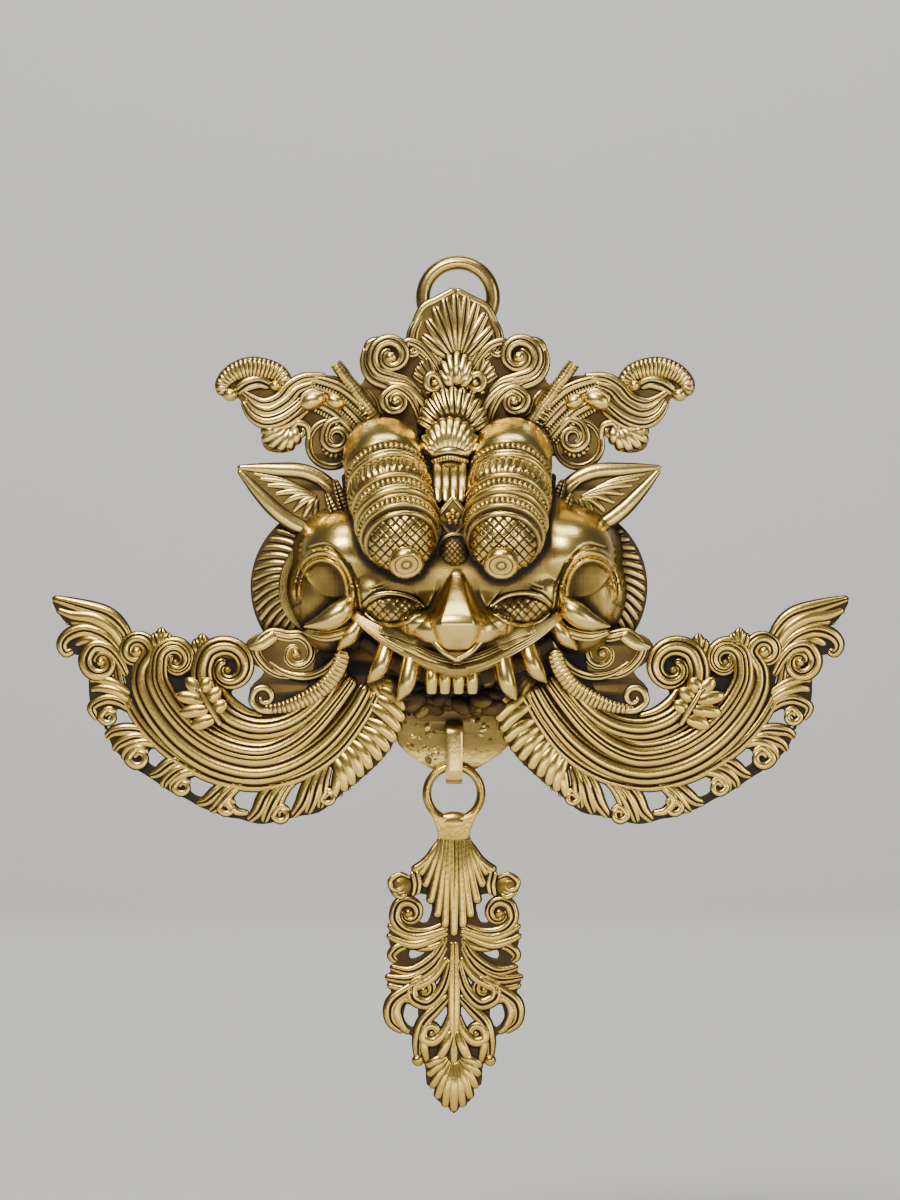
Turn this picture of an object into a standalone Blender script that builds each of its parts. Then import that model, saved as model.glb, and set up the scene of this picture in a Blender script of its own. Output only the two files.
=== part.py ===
"""Kirtimukha mask: a cast brass wall plaque that hangs by its own loop.

Three pieces: the mask itself (one casting), the link that hangs in its jaw
plate, and the leaf pendant that hangs in the link.

The carving is drawn on a grid of squares, counted across from the middle
line, down from the point where the loop bears on its nail, and out from the
wall. The drawing space has X to the right, Y up and Z out of the wall, and
each finished piece is turned upright at the end.
"""

from math import atan2, cos, hypot, pi, radians, sin

import bmesh
import bpy
from mathutils import Matrix, Vector

# Driving sizes in metres
MASK_SPAN = 0.3526             # from wing tip to wing tip
LOOP_BAR = 0.0062              # thickness of the hanging loop's bar
LOOP_INNER_RADIUS = 0.0124     # bore of the hanging loop
PLATE_BACK_WALL = 0.0055       # least wall of the casting over the hollow
JAW_PLATE_THICKNESS = 0.0035
JAW_PLATE_STANDOFF = 0.0100    # wall to the back of the jaw plate
LINK_WIDTH = 0.0074            # across the mask
LINK_BAR = 0.0045              # thickness of the bent bar
LINK_INNER_CORNER = 0.0013     # radius inside its corners
PENDANT_BAR = 0.0042           # thickness of the pendant's ring, front to back
PENDANT_RING_INNER_RADIUS = 0.0099
PENDANT_RING_BAND = 0.0041     # width of the pendant's ring, seen from the front
FIT_GAP = 0.0004               # clearance where two pieces touch

# The drawing's grid. The carving is always drawn with squares of this size, and
# the finished pieces are then brought to the real span.
SQUARES_ACROSS = 797.0
SQ = 0.0004424
GROWTH = MASK_SPAN / (SQUARES_ACROSS * SQ)

# Levels of the relief, in squares out from the wall
WING_PLATE_FRONT = 11.0
CROWN_PLATE_FRONT = 15.0
COLLAR_FRONT = 17.0
BEHIND = -3.0                  # plates run past the wall's plane and are trimmed there
WING_LEAN = 0.10               # how far the wings come forward, for each square inwards
WING_REST_X = 402.0            # where the wings' backs would meet the wall
LEAST_STAGGER = 0.043          # each strand is sunk a little differently
DISSOLVE_ANGLE = 1.0           # degrees, clears the cuts' leftovers on flat faces
FACE_KEPT_SHARE = 0.41         # of the triangles, after the flat faces are cleared
ORNAMENT_KEPT_SHARE = 0.41
LEAF_KEPT_SHARE = 0.50

BRASS = (0.72, 0.56, 0.29, 1.0)

CAP_WELD = 0.023 * SQ          # merges the loose caps of a curve
MIDDLE_NUDGE = 0.09 * SQ       # what a half is moved over by before it is mirrored
MIDDLE_MERGE = 0.5 * MIDDLE_NUDGE
ATTEMPTS = 6                   # at thinning or mirroring a piece so that it stays closed
KEPT_STEP = 0.03               # added to the kept share at each new attempt

stagger_count = 0


def clear_scene():
    for item in list(bpy.data.objects):
        bpy.data.objects.remove(item)
    for item in list(bpy.data.collections):
        bpy.data.collections.remove(item)


def new_collection(name):
    collection = bpy.data.collections.new(name)
    bpy.context.scene.collection.children.link(collection)
    return collection


def brass_material(name):
    material = bpy.data.materials.new(name)
    material.use_nodes = True
    shader = material.node_tree.nodes["Principled BSDF"]
    shader.inputs["Base Color"].default_value = BRASS
    shader.inputs["Metallic"].default_value = 1.0
    shader.inputs["Roughness"].default_value = 0.35
    return material


def drawn(size):
    """A real size, as long as it is in the drawing."""
    return size / GROWTH


def spot(x, down, out=0.0):
    """A place in the drawing space, from grid squares."""
    return Vector((x * SQ, -down * SQ, out * SQ))


def smooth(points, spans):
    """Points along a Catmull-Rom curve through the given ones."""
    if spans < 2 or len(points) < 3:
        return list(points)
    path = []
    last = len(points) - 1
    for k in range(last):
        before = points[max(k - 1, 0)]
        start = points[k]
        end = points[k + 1]
        after = points[min(k + 2, last)]
        for step in range(spans):
            t = step / spans
            path.append(tuple(
                0.5 * (2 * b + (c - a) * t
                       + (2 * a - 5 * b + 4 * c - d) * t * t
                       + (3 * b - a - 3 * c + d) * t ** 3)
                for a, b, c, d in zip(before, start, end, after)))
    path.append(tuple(points[last]))
    return path


def weld_caps(mesh):
    """Close a curve's loose caps and face everything outwards."""
    body = bmesh.new()
    body.from_mesh(mesh)
    bmesh.ops.remove_doubles(body, verts=body.verts, dist=CAP_WELD)
    bmesh.ops.recalc_face_normals(body, faces=body.faces)
    body.to_mesh(mesh)
    body.free()


def as_mesh(source, loose_caps=True):
    """The evaluated mesh of an object, as a new object in its place."""
    bpy.context.view_layer.update()
    graph = bpy.context.evaluated_depsgraph_get()
    mesh = bpy.data.meshes.new_from_object(source.evaluated_get(graph))
    if loose_caps:
        weld_caps(mesh)
    solid = bpy.data.objects.new(source.name, mesh)
    works.objects.link(solid)
    solid.matrix_world = source.matrix_world
    bpy.data.objects.remove(source)
    return solid


def profile(name, corners):
    """A closed section, in half widths, with its flat side at the bottom."""
    curve = bpy.data.curves.new(name, "CURVE")
    curve.dimensions = "2D"
    spline = curve.splines.new("POLY")
    spline.points.add(len(corners) - 1)
    for point, (across, up) in zip(spline.points, corners):
        point.co = (across, up, 0.0, 1.0)
    spline.use_cyclic_u = True
    section = bpy.data.objects.new(name, curve)
    section.hide_render = True
    section.display_type = "WIRE"
    works.objects.link(section)
    return section


def strand(points, width, section, out, taper=(0.5, 1.0, 0.4), spans=2):
    """A carved ridge that follows the points on a plate.

    Points are (across, down) or (across, down, out). The taper gives the
    share of the width at the start, in the middle and at the end.
    """
    global stagger_count
    stagger_count += 1
    sunk = LEAST_STAGGER * (stagger_count % 17)
    full = [(p[0], p[1], (p[2] if len(p) > 2 else out) - sunk) for p in points]
    path = smooth(full, spans)
    curve = bpy.data.curves.new("strand", "CURVE")
    curve.dimensions = "3D"
    curve.twist_mode = "Z_UP"
    curve.bevel_mode = "OBJECT"
    curve.bevel_object = section
    curve.use_fill_caps = True
    spline = curve.splines.new("POLY")
    spline.points.add(len(path) - 1)
    last = len(path) - 1
    for k, (point, place) in enumerate(zip(spline.points, path)):
        t = k / last
        if t < 0.5:
            share = taper[0] + (taper[1] - taper[0]) * sin(t * pi)
        else:
            share = taper[2] + (taper[1] - taper[2]) * sin(t * pi)
        point.co = (*spot(*place), 1.0)
        point.radius = 0.5 * width * SQ * share
    item = bpy.data.objects.new("strand", curve)
    works.objects.link(item)
    return as_mesh(item)


def volute(body, centre, turns, clockwise, shrink=0.62, steps=8):
    """The body's points, led on into a spiral round the centre."""
    x, down = body[-1][0] - centre[0], body[-1][1] - centre[1]
    radius = hypot(x, down)
    start = atan2(down, x)
    count = max(3, round(steps * turns))
    sense = 1.0 if clockwise else -1.0
    path = list(body)
    for k in range(1, count + 1):
        t = k / count
        angle = start + sense * 2 * pi * turns * t
        reach = radius * (1 - shrink * t)
        place = (centre[0] + reach * cos(angle), centre[1] + reach * sin(angle))
        path.append(place + tuple(body[-1][2:]))
    return path


def horn(points, radii, sides=1, spans=2):
    """A round tapering body along the points, for teeth, tusks and folds."""
    path = smooth([(*p, r) for p, r in zip(points, radii)], spans)
    curve = bpy.data.curves.new("horn", "CURVE")
    curve.dimensions = "3D"
    curve.bevel_depth = SQ
    curve.bevel_resolution = sides
    curve.use_fill_caps = True
    spline = curve.splines.new("POLY")
    spline.points.add(len(path) - 1)
    for point, (x, down, out, radius) in zip(spline.points, path):
        point.co = (*spot(x, down, out), 1.0)
        point.radius = radius
    item = bpy.data.objects.new("horn", curve)
    works.objects.link(item)
    return as_mesh(item)


def plate(outline, back, front, holes=()):
    """A flat plate with openings, between two levels out from the wall."""
    curve = bpy.data.curves.new("plate", "CURVE")
    curve.dimensions = "2D"
    curve.fill_mode = "BOTH"
    curve.extrude = 0.5 * (front - back) * SQ
    for loop in [outline, *holes]:
        spline = curve.splines.new("POLY")
        spline.points.add(len(loop) - 1)
        for point, (x, down) in zip(spline.points, loop):
            point.co = (*spot(x, down), 1.0)
        spline.use_cyclic_u = True
    item = bpy.data.objects.new("plate", curve)
    works.objects.link(item)
    item.location = spot(0.0, 0.0, 0.5 * (front + back))
    return as_mesh(item)


def mesh_object(name, body):
    mesh = bpy.data.meshes.new(name)
    body.to_mesh(mesh)
    body.free()
    item = bpy.data.objects.new(name, mesh)
    works.objects.link(item)
    return item


def ball(centre, radii, around=12, rings=8, lean=0.0):
    """An ellipsoid; the lean turns it in the plane of the wall."""
    body = bmesh.new()
    bmesh.ops.create_uvsphere(body, u_segments=around, v_segments=rings, radius=1.0)
    item = mesh_object("ball", body)
    place = Matrix.Translation(spot(*centre))
    size = Matrix.Diagonal((*(r * SQ for r in radii), 1.0))
    item.data.transform(place @ Matrix.Rotation(radians(lean), 4, "Z") @ size)
    return item


def button(x, down, out, radius, height, sides=8):
    """A low round boss with sloping sides."""
    body = bmesh.new()
    bmesh.ops.create_cone(body, cap_ends=True, segments=sides, radius1=radius * SQ,
                          radius2=0.5 * radius * SQ, depth=height * SQ)
    item = mesh_object("button", body)
    item.data.transform(Matrix.Translation(spot(x, down, out + 0.5 * height)))
    return item


def turned(name, outline, steps):
    """A profile of (radius, height), from its top down, turned about Z."""
    mesh = bpy.data.meshes.new(name)
    points = [(radius * SQ, 0.0, height * SQ) for radius, height in outline]
    mesh.from_pydata(points, [(k, k + 1) for k in range(len(points) - 1)], [])
    item = bpy.data.objects.new(name, mesh)
    works.objects.link(item)
    screw = item.modifiers.new("Turn", "SCREW")
    screw.steps = steps
    screw.render_steps = steps
    screw.use_merge_vertices = True
    screw.merge_threshold = CAP_WELD
    return item


def fan(root, tips, width, section, out, lift=0.0, root_share=0.45):
    """Flutes that spread from one root to their tips, like a palmette."""
    flutes = []
    for x, down in tips:
        start = (root[0] + 0.14 * (x - root[0]), root[1] + 0.14 * (down - root[1]), out)
        middle = (0.45 * root[0] + 0.55 * x, 0.45 * root[1] + 0.55 * down, out + lift)
        flutes.append(strand([start, middle, (x, down, out)], width, section,
                             out, taper=(root_share, 1.0, 0.6), spans=1))
    return flutes


def unite(name, pieces):
    """One closed body from overlapping pieces."""
    base = pieces[0]
    operands = new_collection(name + " pieces")
    for piece in pieces[1:]:
        works.objects.unlink(piece)
        operands.objects.link(piece)
    join = base.modifiers.new("Join", "BOOLEAN")
    join.operation = "UNION"
    join.operand_type = "COLLECTION"
    join.collection = operands
    join.solver = "EXACT"
    base.name = name
    whole = as_mesh(base, loose_caps=False)
    for piece in pieces[1:]:
        bpy.data.objects.remove(piece)
    bpy.data.collections.remove(operands)
    return whole


def cut(solid, cutter):
    """Take a cutter's shape out of a solid."""
    cutter.hide_render = True
    cutter.display_type = "WIRE"
    taken = solid.modifiers.new("Cut", "BOOLEAN")
    taken.operation = "DIFFERENCE"
    taken.object = cutter
    taken.solver = "EXACT"
    result = as_mesh(solid, loose_caps=False)
    bpy.data.objects.remove(cutter)
    return result


def copied(solid):
    copy = bpy.data.objects.new(solid.name, solid.data.copy())
    works.objects.link(copy)
    copy.matrix_world = solid.matrix_world
    return copy


def is_closed(solid):
    body = bmesh.new()
    body.from_mesh(solid.data)
    closed = all(edge.is_manifold for edge in body.edges)
    body.free()
    return closed


def thinned(solid, kept):
    """The same solid with fewer triangles, first of all on its flat faces."""
    clear = solid.modifiers.new("Clear flat faces", "DECIMATE")
    clear.decimate_type = "DISSOLVE"
    clear.angle_limit = radians(DISSOLVE_ANGLE)
    facets = solid.modifiers.new("Facets", "TRIANGULATE")
    facets.quad_method = "BEAUTY"
    thin = solid.modifiers.new("Thin out", "DECIMATE")
    thin.ratio = kept
    lighter = as_mesh(solid, loose_caps=False)
    body = bmesh.new()
    body.from_mesh(lighter.data)
    slivers = [edge for edge in body.edges if edge.is_boundary]
    bmesh.ops.holes_fill(body, edges=slivers, sides=4)
    body.to_mesh(lighter.data)
    body.free()
    return lighter


def lightened(solid, kept):
    """The solid thinned out; a little more of it is kept where it wouldn't stay closed."""
    lighter = thinned(copied(solid), kept)
    for attempt in range(1, ATTEMPTS):
        if is_closed(lighter):
            break
        bpy.data.objects.remove(lighter)
        lighter = thinned(copied(solid), min(1.0, kept + attempt * KEPT_STEP))
    bpy.data.objects.remove(solid)
    return lighter


def both_halves(half, nudge):
    """The half on the right of the middle line, and its mirror image."""
    half.data.transform(Matrix.Translation((-nudge, 0.0, 0.0)))
    mirror = half.modifiers.new("Mirror", "MIRROR")
    mirror.use_axis[0] = True
    mirror.use_bisect_axis[0] = True
    mirror.bisect_threshold = 0.025 * MIDDLE_NUDGE
    mirror.merge_threshold = MIDDLE_MERGE
    return as_mesh(half, loose_caps=False)


def mirrored(half):
    """The whole piece, from its right half.

    The half is moved over by a hair, so that the cut runs beside the corners
    that lie on the middle line and not through them.
    """
    whole = both_halves(copied(half), MIDDLE_NUDGE)
    for attempt in range(2, ATTEMPTS):
        if is_closed(whole):
            break
        bpy.data.objects.remove(whole)
        whole = both_halves(copied(half), attempt * MIDDLE_NUDGE)
    bpy.data.objects.remove(half)
    return whole


def finish(solid, name, material):
    """Stand a piece upright, name it and give it its material."""
    solid.name = name
    solid.data.name = name
    works.objects.unlink(solid)
    parts.objects.link(solid)
    solid.data.transform(Matrix.Scale(GROWTH, 4) @ solid.matrix_world)
    solid.matrix_world = Matrix.Rotation(radians(90.0), 4, "X")
    solid.data.materials.append(material)
    solid.data.shade_smooth()
    solid.data.set_sharp_from_angle(angle=radians(30.0))


def wing_pieces():
    """The right wing: an openwork plate, nested bands, scrolls and a leafy edge."""
    outline = [
        (90, 380), (125, 385), (142, 414), (158, 430), (178, 439), (198, 438),
        (217, 426), (211, 414), (205, 402), (208, 386), (222, 376), (238, 380),
        (241, 369), (247, 363), (254, 369), (257, 379), (264, 375), (273, 371),
        (282, 374), (284, 364), (288, 357), (295, 363), (298, 374), (304, 368),
        (313, 365), (324, 368), (335, 346), (350, 339), (380, 332), (395, 327),
        (398, 334), (388, 350), (380, 357), (388, 364), (391, 376), (384, 385),
        (372, 386), (362, 394), (362, 412), (361, 430), (355, 445), (345, 457),
        (341, 470), (335, 481), (325, 490), (315, 499), (302, 507), (290, 515),
        (278, 523), (264, 529), (250, 537), (237, 542), (224, 547), (210, 549),
        (200, 552), (187, 554), (170, 551), (150, 546), (130, 542), (113, 529),
        (105, 521), (95, 514), (85, 506), (74, 496), (64, 485), (56, 473),
        (51, 460), (46, 445), (42, 430), (46, 415), (60, 398),
    ]
    holes = [
        [(328, 402), (335, 385), (343, 390), (350, 403), (340, 413), (325, 416)],
        [(312, 452), (330, 440), (340, 447), (343, 457), (325, 459)],
        [(275, 487), (285, 480), (298, 480), (301, 490), (290, 496)],
        [(232, 511), (250, 507), (260, 511), (257, 521), (246, 525), (238, 518)],
        [(186, 512), (205, 517), (215, 530), (205, 542), (197, 539), (188, 525)],
        [(140, 503), (151, 502), (161, 515), (166, 530), (160, 538), (151, 534), (144, 520)],
    ]
    low = WING_PLATE_FRONT - 5.0
    pieces = [plate(outline, 0.0, WING_PLATE_FRONT, holes)]

    bands = [
        volute([(77, 418), (92, 444), (112, 472), (140, 493), (170, 504), (200, 508),
                (232, 501), (262, 487), (288, 467), (308, 442), (323, 413), (327, 391)],
               (313, 380), 0.95, False),
        [(90, 408), (106, 434), (126, 460), (150, 480), (178, 490), (205, 492),
         (238, 483), (266, 464), (286, 438), (299, 410)],
        volute([(102, 402), (118, 424), (138, 450), (162, 468), (190, 476), (222, 471),
                (250, 456), (271, 434), (284, 410), (288, 390)], (273, 390), 0.95, False),
        [(118, 404), (134, 430), (154, 450), (180, 461), (206, 459), (228, 449), (240, 440)],
        volute([(116, 386), (132, 416), (150, 436), (175, 447), (200, 447), (222, 438),
                (237, 423), (242, 403), (237, 388)], (222, 397), 0.9, False),
    ]
    widths = (13.0, 11.0, 13.0, 10.0, 13.0)
    for path, width in zip(bands, widths):
        pieces.append(strand(path, width, ridge, low, taper=(0.7, 1.0, 0.5), spans=1))
    for x, down in ((313, 380), (273, 390), (222, 397)):
        pieces.append(button(x, down, low, 7, 13))

    roots = [(88, 410), (86, 424), (90, 440), (97, 454), (106, 466), (116, 478), (126, 488),
             (134, 496)]
    tips = [(42, 430), (46, 445), (51, 460), (58, 474), (68, 488), (79, 500), (92, 511),
            (107, 521)]
    for (x, down), (tip_x, tip_down) in zip(roots, tips):
        bend = (0.5 * (x + tip_x) - 3, 0.5 * (down + tip_down) - 2)
        pieces.append(strand([(x, down), bend, (tip_x, tip_down)], 14, ridge, low,
                             taper=(0.5, 1.0, 0.5), spans=1))

    feathers = [
        [(322, 378), (335, 355), (355, 343), (394, 331)],
        [(326, 384), (350, 360), (370, 350), (386, 348)],
        [(330, 386), (352, 372), (372, 366), (388, 371)],
        volute([(332, 390), (350, 379), (363, 388)], (349, 392), 0.7, True),
        [(325, 418), (342, 413), (362, 413)], [(322, 432), (342, 428), (359, 434)],
        [(318, 444), (335, 440), (350, 448)],
        [(307, 463), (325, 463), (342, 468)], [(300, 471), (318, 474), (332, 483)],
        [(292, 476), (308, 488), (314, 498)],
        [(264, 493), (280, 499), (301, 506)], [(252, 499), (265, 510), (279, 521)],
        [(238, 503), (258, 524), (262, 529)],
        [(222, 508), (236, 526), (250, 534)], [(206, 511), (218, 530), (225, 545)],
        [(179, 508), (186, 532), (199, 551)], [(166, 507), (172, 528), (184, 552)],
        [(132, 500), (138, 524), (150, 545)], [(120, 495), (124, 520), (133, 540)],
    ]
    for path in feathers:
        pieces.append(strand(path, 11, ridge, low, taper=(0.7, 1.0, 0.45), spans=1))
    for x, down, radius in ((349, 392, 6), (341, 447, 7), (311, 487, 8), (266, 516, 7),
                            (223, 536, 7), (165, 541, 7), (121, 527, 7)):
        pieces.append(button(x, down, low, radius, 10))

    for x, down, top in ((247, 385, 364), (289, 378, 358)):
        pieces.append(strand([(x, down), (x, top)], 12, ridge, low, taper=(0.8, 1.0, 0.4)))
    for k, tip in enumerate(((262, 422), (247, 408), (228, 426))):
        pieces.append(strand([(234 + k, 452 - k), (240 + k, 438 - k), tip], 10, ridge, low,
                             taper=(0.4, 1.0, 0.5), spans=1))
    lean = Matrix.Identity(4)
    lean[2][0] = -WING_LEAN
    lean[2][3] = WING_LEAN * WING_REST_X * SQ
    for piece in pieces:
        piece.data.transform(piece.matrix_world)
        piece.matrix_world = Matrix.Identity(4)
        piece.data.transform(lean)
    return pieces


def crown_pieces():
    """The crown: stacked palmettes in the middle, scrolls and a swirled arm at the side."""
    outline = [
        (0, 18), (20, 28), (34, 34), (39, 46), (45, 60), (49, 74), (58, 72), (68, 76),
        (86, 73), (88, 100), (96, 118), (120, 106), (145, 108), (157, 115), (168, 118),
        (174, 106), (185, 99), (195, 97), (215, 101), (233, 110), (236, 122), (226, 131),
        (217, 128), (210, 138), (200, 148), (190, 154), (185, 162), (192, 173), (188, 180),
        (177, 183), (165, 181), (157, 172), (149, 166), (147, 180), (139, 192), (124, 198),
        (110, 195), (98, 186), (80, 205), (0, 215),
    ]
    outline += [(-x, down) for x, down in reversed(outline[1:-1])]
    low = CROWN_PLATE_FRONT - 5.0
    pieces = [plate(outline, BEHIND, CROWN_PLATE_FRONT)]

    pieces += fan((0, 86), [(0, 22), (13, 33), (25, 47), (35, 64)], 15, ridge, low)
    pieces += fan((0, 124), [(0, 84), (13, 96)], 17, ridge, low + 4)
    pieces += fan((0, 164), [(0, 119), (14, 125), (25, 137), (31, 152)], 14, ridge, low + 17)
    pieces += fan((0, 194), [(0, 150), (12, 155), (22, 166)], 14, ridge, 58)
    pieces.append(horn([(0, 165, 20), (0, 188, 44), (0, 214, 76)], (22, 20, 18)))

    upper = volute([(29, 140), (40, 120), (62, 111), (80, 104), (86, 90), (80, 76), (64, 73)],
                   (61, 87), 0.85, False)
    lower = volute([(28, 152), (32, 134), (42, 120), (56, 117), (66, 122)], (54, 131), 0.85, True)
    side = volute([(18, 98), (30, 92), (46, 88), (50, 80)], (40, 79), 0.6, False)
    curl = volute([(8, 120), (16, 108), (24, 108)], (18, 116), 0.5, True)
    for path, width, lift in ((upper, 12, 2), (lower, 11, 4), (side, 8, 3), (curl, 7, 8)):
        pieces.append(strand(path, width, ridge, low + lift, taper=(0.6, 1.0, 0.5), spans=1))
    pieces += [button(61, 87, low, 6, 16), button(54, 131, low, 6, 18)]
    pieces.append(strand([(78, 150), (119, 93)], 13, slab, low + 2, taper=(1.0, 1.0, 1.0)))

    arm = [
        [(148, 112), (122, 118), (98, 134), (86, 152)],
        [(150, 122), (126, 130), (104, 144), (94, 162)],
        [(150, 120), (168, 132), (186, 142), (200, 134), (214, 124)],
        [(148, 132), (162, 146), (178, 154), (194, 149), (205, 137)],
        [(150, 140), (166, 152), (178, 164)],
    ]
    for path in arm:
        pieces.append(strand(path, 11, ridge, low, taper=(0.7, 1.0, 0.6), spans=1))
    crest = [(172, 124), (170, 110), (184, 101), (204, 101), (222, 109), (231, 119), (224, 125)]
    pieces.append(strand(crest, 12, ridge, low + 2, taper=(0.6, 1.0, 0.8), spans=1))
    pieces += fan((178, 164), [(163, 176), (176, 180), (187, 176)], 10, ridge, low)
    whorl = volute([(98, 168), (108, 154), (126, 152), (142, 164)], (123, 174), 1.15, True)
    pieces.append(strand(whorl, 11, ridge, low, taper=(0.6, 1.0, 0.5), spans=1))
    for x, down, radius in ((141, 132, 8), (117, 132, 7), (179, 115, 6), (226, 124, 7),
                            (155, 161, 6), (121, 172, 6)):
        pieces.append(button(x, down, low, radius, 13))
    return pieces


def eye_stalk():
    """A horn-like stalk: a smooth dome behind, seven turned rings, the ball and its cap."""
    ball_centre, ball_radius = 126.0, 33.0
    groove = 2.8
    outline = [(0.0, 171.0), (9.0, 171.0), (15.5, 167.0), (16.0, 155.5)]
    for degrees in (48, 66, 82):
        angle = radians(degrees)
        outline.append((ball_radius * sin(angle), ball_centre + ball_radius * cos(angle)))
    rings = [(126.0, 37.0, 4.0), (114.0, 40.0, 6.5), (97.5, 41.0, 6.5), (79.5, 42.0, 8.0),
             (59.0, 43.5, 10.0), (41.0, 41.5, 5.5), (26.0, 41.0, 6.0)]
    for place, radius, half in rings:
        outline.append((radius - groove, place + half))
        outline.append((radius, place + 0.4 * half))
        outline.append((radius, place - 0.4 * half))
    outline += [(38.5, 19.5), (40.5, 8.0), (38.0, -15.0), (29.0, -29.0), (15.0, -38.0),
                (0.0, -41.0)]
    stalk = turned("eye stalk", outline, 16)
    back = spot(63, 190, 45)
    lean = (spot(55, 270, 141.5) - back).to_track_quat("Z", "Y").to_matrix().to_4x4()
    stalk = as_mesh(stalk)
    stalk.data.transform(Matrix.Translation(back) @ lean)
    return stalk


def face_pieces():
    """The lion face: brow, cheeks, muzzle, nose, lower eyes, tusks and teeth."""
    pieces = [ball((0, 292, 8), (148, 104, 112), 24, 14)]
    pieces.append(ball((0, 345, 26), (104, 55, 98), 20, 12))
    pieces.append(eye_stalk())
    pieces.append(ball((108, 286, 46), (49, 46, 54), 16, 10))
    pieces.append(ball((63, 338, 98), (29, 15, 22), 10, 6, 8))

    pieces.append(ball((0, 358, 140), (26, 25, 45), 12, 8))
    pieces.append(horn([(0, 296, 98), (0, 325, 128), (0, 352, 152)], (8, 14, 22)))
    pieces.append(horn([(4, 360, 150), (28, 357, 136), (50, 353, 114)], (17, 15, 7)))
    pieces.append(horn([(0, 397, 112), (24, 391, 110), (50, 379, 103), (78, 364, 92),
                        (106, 346, 80)], (10, 10, 10, 9, 6)))
    pieces.append(horn([(35, 330, 118), (62, 321, 124), (88, 330, 110)], (3, 4, 3)))

    pieces.append(horn([(100, 348, 84), (102, 320, 92), (110, 298, 92), (126, 284, 84),
                        (143, 288, 70), (151, 306, 56), (149, 332, 46)],
                       (6, 7, 8, 8, 7, 6, 5)))
    pieces.append(horn([(104, 340, 92), (128, 357, 92), (151, 355, 92)], (12, 9, 2)))
    pieces.append(horn([(44, 386, 98), (48, 408, 103), (57, 427, 98)], (9, 8, 1.5)))
    pieces.append(horn([(68, 376, 88), (74, 394, 92), (87, 410, 86)], (9, 8, 1.5)))
    pieces.append(horn([(98, 356, 80), (107, 367, 80), (117, 378, 74)], (8, 7, 1.5)))
    for x in (7, 20):
        pieces.append(horn([(x, 392, 112), (x, 420, 108)], (6.2, 5), spans=1))

    pieces.append(ball((0, 283, 116), (15, 15, 13), 10, 6))
    diamond = [(0, 229), (16, 249), (0, 269), (-16, 249)]
    pieces.append(plate(diamond, 70, 115))
    for x in (0, 10):
        pieces.append(strand([(x, 188, 61), (x, 208, 92), (x, 233, 108)], 10, ridge, 40,
                             taper=(1.0, 1.0, 0.8), spans=1))
    pieces.append(strand([(-1, 183, 66), (18, 185, 65)], 9, slab, 34, taper=(1.0, 1.0, 1.0)))
    return pieces


def side_pieces():
    """Ear, mane collar, cheek curl and the ribbed trunk, at the side of the face."""
    collar_x, collar_down, collar_radius = 113.0, 317.0, 85.0
    body = bmesh.new()
    bmesh.ops.create_cone(body, cap_ends=True, segments=40, radius1=collar_radius * SQ,
                          radius2=(collar_radius - 2.0) * SQ, depth=COLLAR_FRONT * SQ)
    disc = mesh_object("collar", body)
    disc.data.transform(Matrix.Translation(spot(collar_x, collar_down, 0.46 * COLLAR_FRONT)))
    pieces = [disc]
    low = COLLAR_FRONT - 4.0
    for k in range(13):
        angle = radians(-72.0 + 10.5 * k)
        slant = radians(9.0)
        inner = (collar_x + 50 * cos(angle), collar_down + 50 * sin(angle), low + 14)
        outer = (collar_x + 83 * cos(angle + slant), collar_down + 83 * sin(angle + slant), low)
        pieces.append(strand([inner, outer], 14, ridge, low, taper=(0.8, 1.0, 0.8), spans=1))

    leaf = [(118, 222), (143, 201), (172, 198), (210, 199), (200, 214), (189, 226),
            (168, 246), (148, 264), (126, 266), (114, 245)]
    pieces.append(plate(leaf, 16, 32))
    pieces.append(strand([(108, 236), (124, 212), (145, 202), (174, 199), (209, 200)], 10, ridge,
                         28, taper=(1.0, 1.0, 0.4)))
    pieces.append(strand([(126, 268), (148, 260), (169, 243), (190, 223), (207, 202)], 9, ridge,
                         27, taper=(1.0, 1.0, 0.4)))
    for tip in ((182, 214), (162, 234), (144, 250)):
        pieces.append(strand([(122, 244), tip], 8, ridge, 28, taper=(0.8, 1.0, 0.4)))
    for start, end in (((86, 262, 72), (104, 216, 34)), ((98, 264, 66), (117, 230, 34))):
        middle = tuple(0.5 * (a + b) for a, b in zip(start, end))
        pieces.append(strand([start, middle, end], 14, ridge, 40, taper=(0.8, 1.0, 0.5)))

    under = [(110, 382), (140, 366), (183, 362), (203, 374), (196, 392), (184, 402),
             (198, 418), (195, 436), (175, 441), (148, 432), (122, 410)]
    front = 34.0
    low = front - 5.0
    pieces.append(plate(under, 4.0, front))
    trunk = volute([(104, 384, 52), (120, 404, 42), (138, 421, 34), (160, 434, low),
                    (184, 436, low), (196, 426, low)], (178, 425), 0.7, False)
    pieces.append(strand(trunk, 17, ridge, low, taper=(0.8, 1.0, 0.5), spans=1))
    arm = [(102, 368, 60), (124, 390, 44), (145, 405, 34), (180, 388, low)]
    pieces.append(strand(arm, 12, ridge, low, taper=(0.8, 1.0, 0.6)))
    beak = volute([(146, 408), (168, 400), (186, 390), (198, 378), (180, 366), (160, 368)],
                  (153, 382), 0.8, False)
    pieces.append(strand(beak, 13, ridge, low, taper=(0.6, 1.0, 0.6), spans=1))
    pieces.append(button(153, 383, low, 7, 14))
    return pieces


def jaw_plate():
    """The shield under the mouth that carries the link."""
    outline = [(60, 380), (62, 405), (63, 440), (55, 474), (26, 496), (10, JAW_TIP_DOWN),
               (-10, JAW_TIP_DOWN), (-26, 496), (-55, 474), (-63, 440), (-62, 405),
               (-60, 380)]
    return plate(outline, JAW_PLATE_BACK / SQ, JAW_PLATE_FRONT / SQ)


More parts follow.
